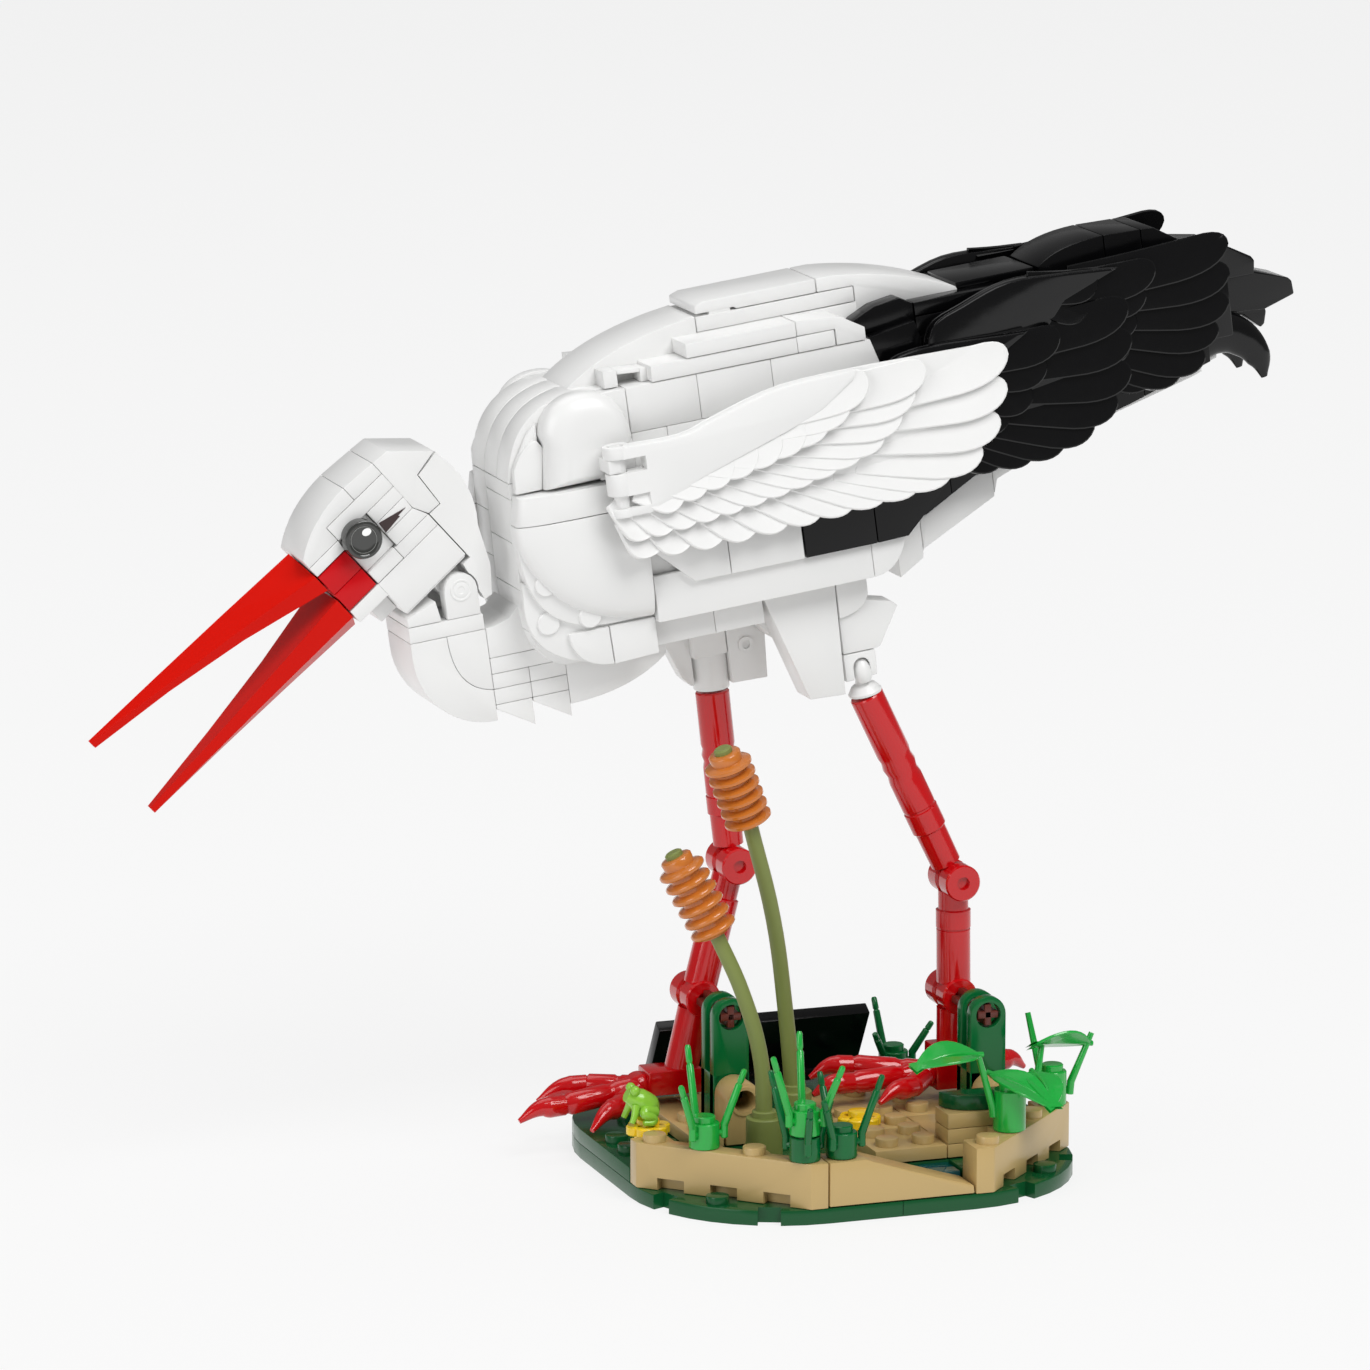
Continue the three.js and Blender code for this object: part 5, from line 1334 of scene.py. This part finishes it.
def build_reeds():
    z = GROUND + 0.3
    feet = [round_brick(x, y, z, GROUND + 9.4, 3.85, 2.6) for x, y in ((-20, -20), (-7, -2))]
    feet += [brick(-20, -8, -13, -11, z, GROUND + 2), brick(-21, -19, -20, -11, z, GROUND + 2),
             brick(-9, -7, -13, -2, z, GROUND + 2)]
    finished("reed_bricks", feet, OLIVE, "reed_feet")
    reeds = [
        ("low", (-37.6, -15, 70.8), [(-20, -20, 15), (-20.8, -20, 28), (-24.4, -19, 42), (-29.5, -17, 54.6)]),
        ("high", (-24.9, -9, 90.4), [(-7, -2, 15), (-9.4, -3.5, 34), (-13, -6, 54), (-18.9, -8, 75)]),
    ]
    for name, top, route in reeds:
        stem = wand(route, [1.75, 1.65, 1.6, 1.6], 6)
        finished("reed_" + name, [stem], OLIVE, "reed_stem_" + name, smooth=60)
        length = math.dist(route[-1], top)
        pitch = (length - 1.4) / 6
        stations = [(0, 2.2), (0.2, 3.3)]
        for i in range(6):
            d = 0.5 + i * pitch
            stations += [(d, 3.3), (d + 0.12 * pitch, 4.6), (d + 0.24 * pitch, 5), (d + 0.46 * pitch, 5),
                         (d + 0.58 * pitch, 4.6), (d + 0.7 * pitch, 3.3)]
        stations += [(length, 3.4), (length + 0.3, 3.1), (length + 0.4, 2.3)]
        finished(
            "cattail_head_" + name, [aimed(turned(stations, 32), route[-1], top)],
            ORANGE, "cattail_" + name, smooth=50,
        )
        tip = turned([(length - 0.2, 1.9), (length + 1.2, 1.9), (length + 1.5, 1.5)], 20)
        finished("reed_tip_" + name, [aimed(tip, route[-1], top)], OLIVE)


def build_plaque():
    lean = Matrix.Translation((0, 45, GROUND + 2.6)) @ Matrix.Rotation(math.radians(31), 4, "X")
    tile = moved(brick(-24, 24, -PLATE, 0, 0.05, 2 * STUD, edge=0.3), lean)
    room = moved(brick(-25, 25, -PLATE + 1, 4, -6, 2 * STUD, edge=0), lean)
    foot = brick(-12, 12, 36, 41, GROUND + 0.3, GROUND + 3)
    post = cut(joined([foot, brick(-12, 12, 36.1, 39, GROUND + 0.4, 13)]), room)
    finished("blank_plaque", [tile, post], BLACK, "plaque")


# ---- the whole model ----
for build in (
    build_skull, build_eyes, build_neck, build_breast, build_shoulders, build_trunk, build_back,
    build_white_wings, build_black_wings, build_rump, build_tail, build_hips, build_legs, build_supports,
    build_green_plates, build_rim, build_ground, build_sprigs, build_leaf_plants, build_frog, build_reeds,
    build_plaque,
):
    build()

# The bill's solids already have their shape.
for name in ("beak_lower", "beak_upper"):
    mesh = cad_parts[name].data
    mesh.materials.clear()
    mesh.materials.append(BILL_RED)


# ---- stage ----
def stage():
    """A pale sweep of floor, soft light all round and the camera's view from the near side."""
    deselect()
    bpy.ops.mesh.primitive_plane_add(size=8, location=(0, 1, 0))
    floor = bpy.context.object
    floor.name = "floor"
    bpy.ops.object.transform_apply(location=True, rotation=True, scale=True)
    paper = Recipe("pale_floor")
    fibre = paper.noise(3, 4)
    tint = paper.mix(fibre, grey(0.13), grey(0.14))
    floor.data.materials.append(paper.surface(
        Base_Color=tint, Roughness=0.6 + fibre * 0.1, Specular_IOR_Level=0.1,
        Emission_Color=grey(1), Emission_Strength=0.81,
    ))

    world = bpy.data.worlds.new("soft_surround")
    bpy.context.scene.world = world
    world.use_nodes = True
    surround = world.node_tree.nodes["Background"]
    surround.inputs["Color"].default_value = grey(1)
    surround.inputs["Strength"].default_value = 0.2

    aim = Vector((0, 0.01, 0.1))
    lamps = [  # name, place, width, height, watts
        ("key_softbox", (0.5, -1.6, 2.3), 1.6, 1.6, 54),
        ("top_softbox", (-0.3, 0.6, 2.2), 1.6, 1.6, 12),
        ("side_softbox", (-2.0, -1.0, 0.9), 1.4, 1.4, 16),
    ]
    for name, place, width, height, watts in lamps:
        light = bpy.data.lights.new(name, "AREA")
        light.shape, light.size, light.size_y, light.energy = "RECTANGLE", width, height, watts
        lamp = bpy.data.objects.new(name, light)
        bpy.context.collection.objects.link(lamp)
        lamp.location = place
        lamp.rotation_euler = (aim - lamp.location).to_track_quat("-Z", "Y").to_euler()
    bpy.context.scene.view_settings.view_transform = "Standard"

    azimuth, elevation, distance = math.radians(-19.5), math.radians(12), 1.6
    level = math.cos(elevation)
    toward = Vector((math.sin(azimuth) * level, -math.cos(azimuth) * level, math.sin(elevation)))
    lens = bpy.data.cameras.new("camera")
    lens.sensor_width, lens.lens = 36, 202.911
    camera = bpy.data.objects.new("camera", lens)
    bpy.context.collection.objects.link(camera)
    camera.location = Vector((-0.026808, 0.009789, 0.101313)) + toward * distance
    camera.rotation_euler = (-toward).to_track_quat("-Z", "Y").to_euler()
    bpy.context.scene.camera = camera


stage()
